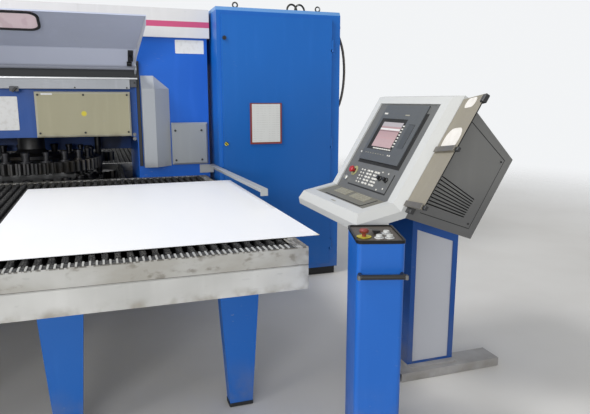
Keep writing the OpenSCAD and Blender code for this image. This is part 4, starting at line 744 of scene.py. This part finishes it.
desk_face = face_frame(console_nose, console_fold)
slope_face = face_frame(console_fold, console_crown)


def keys(name, face, places, size, material):
    """Key caps on one face; each place is (way up, along Y)."""
    height = -fascia_depth
    turn = tuple(face.to_euler())
    return repeat_shape(name, [(tuple(face @ Vector((u, y, height))), turn, size) for u, y in places],
                        key_cap, material, "frame")


def cap_form(bm):
    """Unit key: a block from 0 to 1 in height whose crown is drawn in."""
    skin(bm, [square(bm, half, height) for half, height in ((0.5, 0.0), (0.5, 0.6), (0.4, 1.0))])


key_cap = master("key_cap", cap_form)
console_white = enamel("console_white", tone(194, 195, 193), rough=0.42, mottle=0.04, dust=0.0, scuffs=0.12)
dress(console_white.done(), "console_frame")
housing = enamel("housing_grey", tone(114, 114, 112), rough=0.5, mottle=0.06, dust=0.0, scuffs=0.2, peel=0.5)
# Painted shade: the housing is painted darker towards its foot, below z 1.25.
housing.over(tone(88, 88, 88), housing.z.rise(1.25, 0.98) * 0.8)
dress(housing.done(), "console_housing")


def up_slope(finish):
    direction = (console_crown - console_fold).normalized()
    return (finish.x - console_fold.x) * direction.x + (finish.z - console_fold.z) * direction.z


fascia_grey = enamel("fascia_grey", tone(96, 97, 96), rough=0.5, mottle=0.05, dust=0.0, scuffs=0.05, peel=0.5)
fascia_grey.over(tone(110, 108, 98), fascia_grey.x.rise(console_fold.x + 0.004, console_fold.x - 0.004))
stop_up, stop_y = 0.111, -2.515
ring = ((up_slope(fascia_grey) - stop_up) ** 2.0 + (fascia_grey.y - stop_y) ** 2.0).math("SQRT")
fascia_grey.over(tone(160, 158, 112), ring.rise(0.0306, 0.0300))
fascia_grey.over(tone(44, 45, 46), ring.rise(0.0150, 0.0145))
dress(fascia_grey.done(), "console_fascia")
bezel = enamel("bezel_grey", tone(80, 83, 85), rough=0.48, mottle=0.05, dust=0.0, scuffs=0.05, peel=0.5)
dress(bezel.done(), "screen_unit")

# The screen: a black surround with a pale pink picture of bands and fine
# lines, a column and a row of light soft keys, bare plates above it, the drive's
# flap beside it, and black strips of painted shadow in the gaps round it and
# round the key pads.
# One black finish for the screen's surround, the seams and the board's edge, which also paints the shadow in the gaps
# beside raised parts.
black_and_gap_shade = Finish("black_and_gap_shade", tone(10, 10, 11), rough=0.8)
black_and_gap_shade.over(tone(30, 30, 31), black_and_gap_shade.noise(20.0).rise(0.5, 0.8))
black_and_gap_shade = black_and_gap_shade.done()
picture = Finish("screen_picture", tone(158, 130, 130), rough=0.4)
row = up_slope(picture)
picture.over(tone(160, 154, 156), row.rise(0.408, 0.410))
picture.over(tone(206, 206, 204), row.within(0.386, 0.397, 0.001))
picture.over(tone(90, 66, 68), row.within(0.378, 0.382, 0.001))
picture.over(tone(172, 120, 124), row.within(0.336, 0.3385, 0.0006) * picture.noise(60.0).rise(0.35, 0.45))
picture.over(tone(184, 160, 160), row.rise(0.40, 0.30) * 0.5)
picture.over(tone(150, 112, 116), row.repeat(0.0105).rise(0.0042, 0.0046)
             * picture.noise(150.0, 1.0, (1.0, 0.4, 1.0)).rise(0.56, 0.60) * 0.5)
picture.tree.links.new(picture.colour.socket, picture.surface.inputs["Emission Color"])
picture.surface.inputs["Emission Strength"].default_value = 0.08
on_face(slope_face, "screen_surround", black_and_gap_shade, (0.260, -2.808, -0.0033), (0.458, -2.520, -0.0022))
on_face(slope_face, "screen_picture", picture.done(), (0.279, -2.783, -0.0022), (0.436, -2.560, -0.0016))
key_white = Finish("key_white", tone(214, 212, 206), rough=0.45)
key_white.over(tone(168, 162, 150), key_white.noise(70.0, 2.0).rise(0.45, 0.7) * 0.6)
key_white = key_white.done()
key_buff = Finish("key_buff", tone(150, 147, 132), rough=0.5)
key_buff.over(tone(120, 117, 104), key_buff.noise(70.0, 2.0).rise(0.45, 0.7) * 0.6)
key_buff = key_buff.done()
soft_rise = 0.0085
keys("soft_keys_side", slope_face, [(0.291 + 0.0178 * i, -2.803) for i in range(8)], (0.009, 0.016, soft_rise + 0.0015),
     key_white)
keys("soft_keys_low", slope_face, [(0.268, -2.785 + 0.026 * i) for i in range(8)], (0.008, 0.021, soft_rise), key_white)
keys("soft_marks", slope_face, [(0.236, -2.820), (0.236, -2.800), (0.234, -2.480)], (0.009, 0.012, soft_rise),
     key_white)
keys("soft_marks_faint", slope_face, [(0.235, -2.75 + 0.03 * i) for i in range(8)], (0.005, 0.010, soft_rise),
     key_buff)
on_face(slope_face, "screen_plate_left", key_white, (0.484, -2.552, -0.001), (0.494, -2.512, -0.0004),
        0.001)
on_face(slope_face, "screen_plate_right", key_buff, (0.480, -2.800, -0.001), (0.487, -2.755, -0.0004),
        0.001)
side_door = enamel("side_door_grey", tone(66, 69, 71), mottle=0.05, dust=0.0, scuffs=0.1).done()
for name, low, high in (("drive_flap_top", (0.428, -2.905, -0.001), (0.430, -2.845, -0.0002)),
                        ("drive_flap_side", (0.285, -2.907, -0.001), (0.430, -2.905, -0.0002))):
    on_face(slope_face, name, black_and_gap_shade, low, high)
on_face(slope_face, "drive_flap", side_door, (0.285, -2.905, -0.001), (0.428, -2.845, -0.0005))
# Painted shadow: black strips in the gaps beside the raised screen unit, the key pad and the keyboard.
for face, name, low, high in (
        (slope_face, "screen_gap_low", (0.170, -2.972, -0.0082), (0.190, -2.492, -0.0074)),
        (slope_face, "screen_gap_side", (0.170, -2.974, -0.0082), (0.500, -2.946, -0.0070)),
        (slope_face, "keypad_gap_low", (0.024, -2.966, -0.0082), (0.032, -2.512, -0.0074)),
        (slope_face, "keypad_gap_side", (0.024, -2.968, -0.0082), (0.142, -2.960, -0.0070)),
        (desk_face, "keyboard_gap_low", (0.074, -2.962, -0.0082), (0.082, -2.498, -0.0074)),
        (desk_face, "keyboard_gap_side", (0.074, -2.962, -0.0082), (0.179, -2.952, -0.0070))):
    on_face(face, name, black_and_gap_shade, low, high)

# The key pads: light caps in groups on the slope and buff caps in four rows on
# the desk; and the finishes of the stop button, the key switch and the knobs.
keys("pad_small", slope_face, [(0.130 - 0.019 * i, y) for i in range(5) for y in (-2.600, -2.632)],
     (0.0085, 0.012, 0.003), key_white)
keys("pad_wide", slope_face, [(0.131 - 0.019 * i, y) for i in range(5) for y in (-2.680, -2.716, -2.765, -2.797)],
     (0.011, 0.026, 0.003), key_white)
keys("pad_marks", slope_face, [(0.141, -2.836), (0.140, -2.900), (0.054, -2.918), (0.040, -2.86)],
     (0.008, 0.010, 0.002), key_white)
desk_rows = [(0.178 - 0.0155 * i, -2.505 - 0.0235 * j - 0.004 * i)
             for i in range(4) for j in range(17) if j not in (7, 8)]
keys("desk_keys", desk_face, desk_rows, (0.0115, 0.019, 0.0035), key_buff)
on_face(desk_face, "nose_mark", key_buff, (0.020, -2.768, -0.0001), (0.029, -2.712, 0.0004), 0.001)
red_cap = Finish("stop_red", tone(168, 34, 40), rough=0.35)
red_cap.over(tone(120, 26, 26), red_cap.noise(40.0, 3.0).rise(0.4, 0.7) * 0.5)
red_cap = red_cap.done()
dress(red_cap, "console_estop")
dress(steel("key_steel", tone(206, 206, 202), rough=0.3).done(), "key_switch")
knob_black = Finish("knob_black", tone(20, 20, 21), rough=0.35)
knob_black.over(tone(60, 60, 60), knob_black.noise(50.0, 3.0).rise(0.55, 0.75) * 0.6)
knob_black = knob_black.done()
dress(knob_black, "selector_left", "selector_right")

# The housing's side: a dark seam round the raised panel with its screws, and
# the document board with its bars and two white tongues of paper.
housing_side = -3.1032
seam_corners = [(2.820, 1.500), (3.050, 1.283), (2.853, 0.936), (2.560, 1.040)]


def side_strip(name, start, end, width, material):
    """A thin straight strip on the housing's side between two points (x, z)."""
    length = math.dist(start, end)
    piece = plate(name, material, (0.0, -0.0008, -width / 2), (length, 0.0, width / 2), bevel=0.0)
    angle = math.atan2(end[1] - start[1], end[0] - start[0])
    piece.data.transform(Matrix.Translation((start[0], housing_side, start[1])) @ Matrix.Rotation(-angle, 4, "Y"))
    return fitted(piece, "frame")


for i, (start, end) in enumerate(zip(seam_corners, seam_corners[1:])):
    side_strip(f"housing_seam_{i}", start, end, 0.0035 if i != 1 else 0.002, black_and_gap_shade)
front_screws("housing_screws", housing_side, 0.005, ((3.028, 1.276), (2.848, 0.962)))
board = enamel("board_beige", tone(140, 134, 120), rough=0.6, mottle=0.08, dust=0.0, scuffs=0.15)
dress(board.done(), "document_board")
board_frame = (slope_face @ Matrix.Translation((0.014, -3.134, -0.043))
               @ Matrix.Rotation(math.radians(-12.6), 4, "X"))

tongue = Finish("tongue_white", tone(226, 222, 216), rough=0.8)
tongue.over(tone(206, 200, 190), tongue.noise(30.0, 3.0).rise(0.4, 0.7) * 0.4)
tongue = tongue.done()
bar_grey = steel("bar_grey", tone(112, 108, 100), rough=0.45, metallic=0.5, oil=0.2).done()
for name, material, low, high, slot_name, radius, bevel in (
        ("paper_tongue", tongue, (0.30, -0.205, 0.0002), (0.425, -0.035, 0.0009), "button_light", 0.055, 0.0),
        ("paper_tongue_high", tongue, (0.535, -0.165, 0.0002), (0.588, -0.060, 0.0009), "button_light", 0.025, 0.0),
        ("board_bar_low", bar_grey, (-0.002, -0.238, 0.0095), (0.027, -0.012, 0.0125), "board_beige", 0.0, 0.001),
        ("board_bar_low_end", black_screw, (0.002, -0.262, -0.012), (0.022, -0.234, 0.006), "lock_black", 0.0, 0.003),
        ("board_bar_middle", bar_grey, (0.295, -0.238, 0.0095), (0.324, -0.012, 0.0125), "board_beige", 0.0, 0.001),
        ("board_bar_middle_end", black_screw, (0.299, -0.262, -0.012), (0.319, -0.234, 0.006),
         "lock_black", 0.0, 0.003),
        ("board_top_clip", black_screw, (0.548, -0.250, -0.016), (0.588, -0.222, 0.008), "lock_black", 0.0, 0.004),
        ("board_low_clip", black_screw, (-0.026, -0.085, -0.030), (0.012, -0.020, -0.006), "lock_black", 0.0, 0.004),
        ("board_edge", black_and_gap_shade, (0.0, -0.2345, -0.0054), (0.594, -0.2335, -0.0002), "lock_black", 0.0, 0.0)):
    on_face(board_frame, name, material, low, high, radius, bevel)

# The stand: a light panel sunk in its blue front, whose top edge slopes like
# the housing's underside, on a plate and a floor beam.
# Painted shade: the stand's blue is a darker copy of the machine's blue, for the shade that it stands in.
stand = enamel("stand_blue", tone(14, 72, 144), mottle=0.08, dust=0.5, dust_top=0.4, scuffs=0.2)
slope_top = (stand.x - 2.737) * -0.3545 + 0.872
panel = (stand.x.within(2.7375, 2.9795, 0.001) * (stand.z - slope_top).rise(0.001, -0.001) * stand.z.rise(0.070, 0.072)
         * stand.y.within(-2.797, -2.788, 0.0008))
stand.over(tone(182, 184, 190), panel)
dress(stand.done(), "console_stand")
dress(enamel("base_grey", tone(158, 156, 155), mottle=0.15, dust=0.6, dust_top=0.1, scuffs=0.6).done(), "console_base")

# The pedestal: a folded blue column with a rubber-edged steel top for the push
# buttons, a yellow disc under the stop button, and a black handle with steel tips.
pedestal_blue = enamel("pedestal_blue", tone(20, 92, 178), mottle=0.08, dust=0.4, dust_top=0.4, scuffs=0.25)
dress(pedestal_blue.done(), "pedestal_body")
pedestal_frame = Matrix.Translation((2.195, -3.338, 0.0)) @ Matrix.Rotation(math.radians(-16.8), 4, "Z")
top_level = 1.014
top_finish = steel("pedestal_steel", tone(86, 78, 70), rough=0.42, metallic=0.6, oil=0.6)
top_finish.over(tone(18, 18, 19), top_finish.z.rise(top_level + 0.0035, top_level + 0.0040)
                * top_finish.facing("Z").rise(0.2, 0.9))
side_ways = top_finish.facing("Z").rise(0.5, 0.2)
top_finish.over(tone(20, 20, 21), side_ways * top_finish.z.rise(top_level - 0.012, top_level - 0.010))
stop_place = pedestal_frame @ Vector((-0.060, -0.062, 0.0))
disc = ((top_finish.x - stop_place.x) ** 2.0 + (top_finish.y - stop_place.y) ** 2.0).math("SQRT")
top_finish.over(tone(212, 196, 62), disc.rise(0.0330, 0.0325) * top_finish.z.rise(top_level + 0.001, top_level + 0.002))
dress(top_finish.done(), "pedestal_top")
dress(knob_black, "pedestal_handle", "clamp_button")
ped_red = Finish("pedestal_red", tone(128, 44, 34), rough=0.4)
ped_red.over(tone(84, 34, 26), ped_red.noise(50.0, 3.0).rise(0.4, 0.65) * 0.7)
dress(ped_red.done(), "pedestal_estop")
button_grey = Finish("button_grey", tone(196, 198, 196), rough=0.4)
button_grey.over(tone(140, 136, 128), button_grey.noise(60.0, 3.0).rise(0.5, 0.75) * 0.6)
button_grey = button_grey.done()
dress(button_grey, "start_button", "stop_button", "jog_button")


def bezel_form(bm):
    """Unit collar: a flat ring with a raised inner edge."""
    ring_stack(bm, [(1.0, 0.0), (1.0, 0.5), (0.86, 1.0), (0.72, 1.0), (0.72, 0.0)], 28, top=False, bottom=False)


collar = master("button_collar", bezel_form)
collar_places = [(tuple(pedestal_frame @ Vector((x, y, top_level))), (0.0, 0.0, 0.0), (0.0215, 0.0215, 0.0045))
                 for x, y in ((0.002, -0.080), (0.047, -0.082), (0.047, -0.003))]
repeat_shape("button_collars", collar_places, collar, bright_rail, "frame")
tip_steel = steel("tip_steel", tone(120, 120, 118), rough=0.35, oil=0.3).done()
handle_reach = 0.099
for side, end in (("left", -1), ("right", 1)):
    middle = end * handle_reach
    on_face(pedestal_frame, f"handle_tip_{side}", tip_steel, (middle - 0.007, -0.2035, 0.8655),
            (middle + 0.007, -0.182, 0.8845), bevel=0.003)
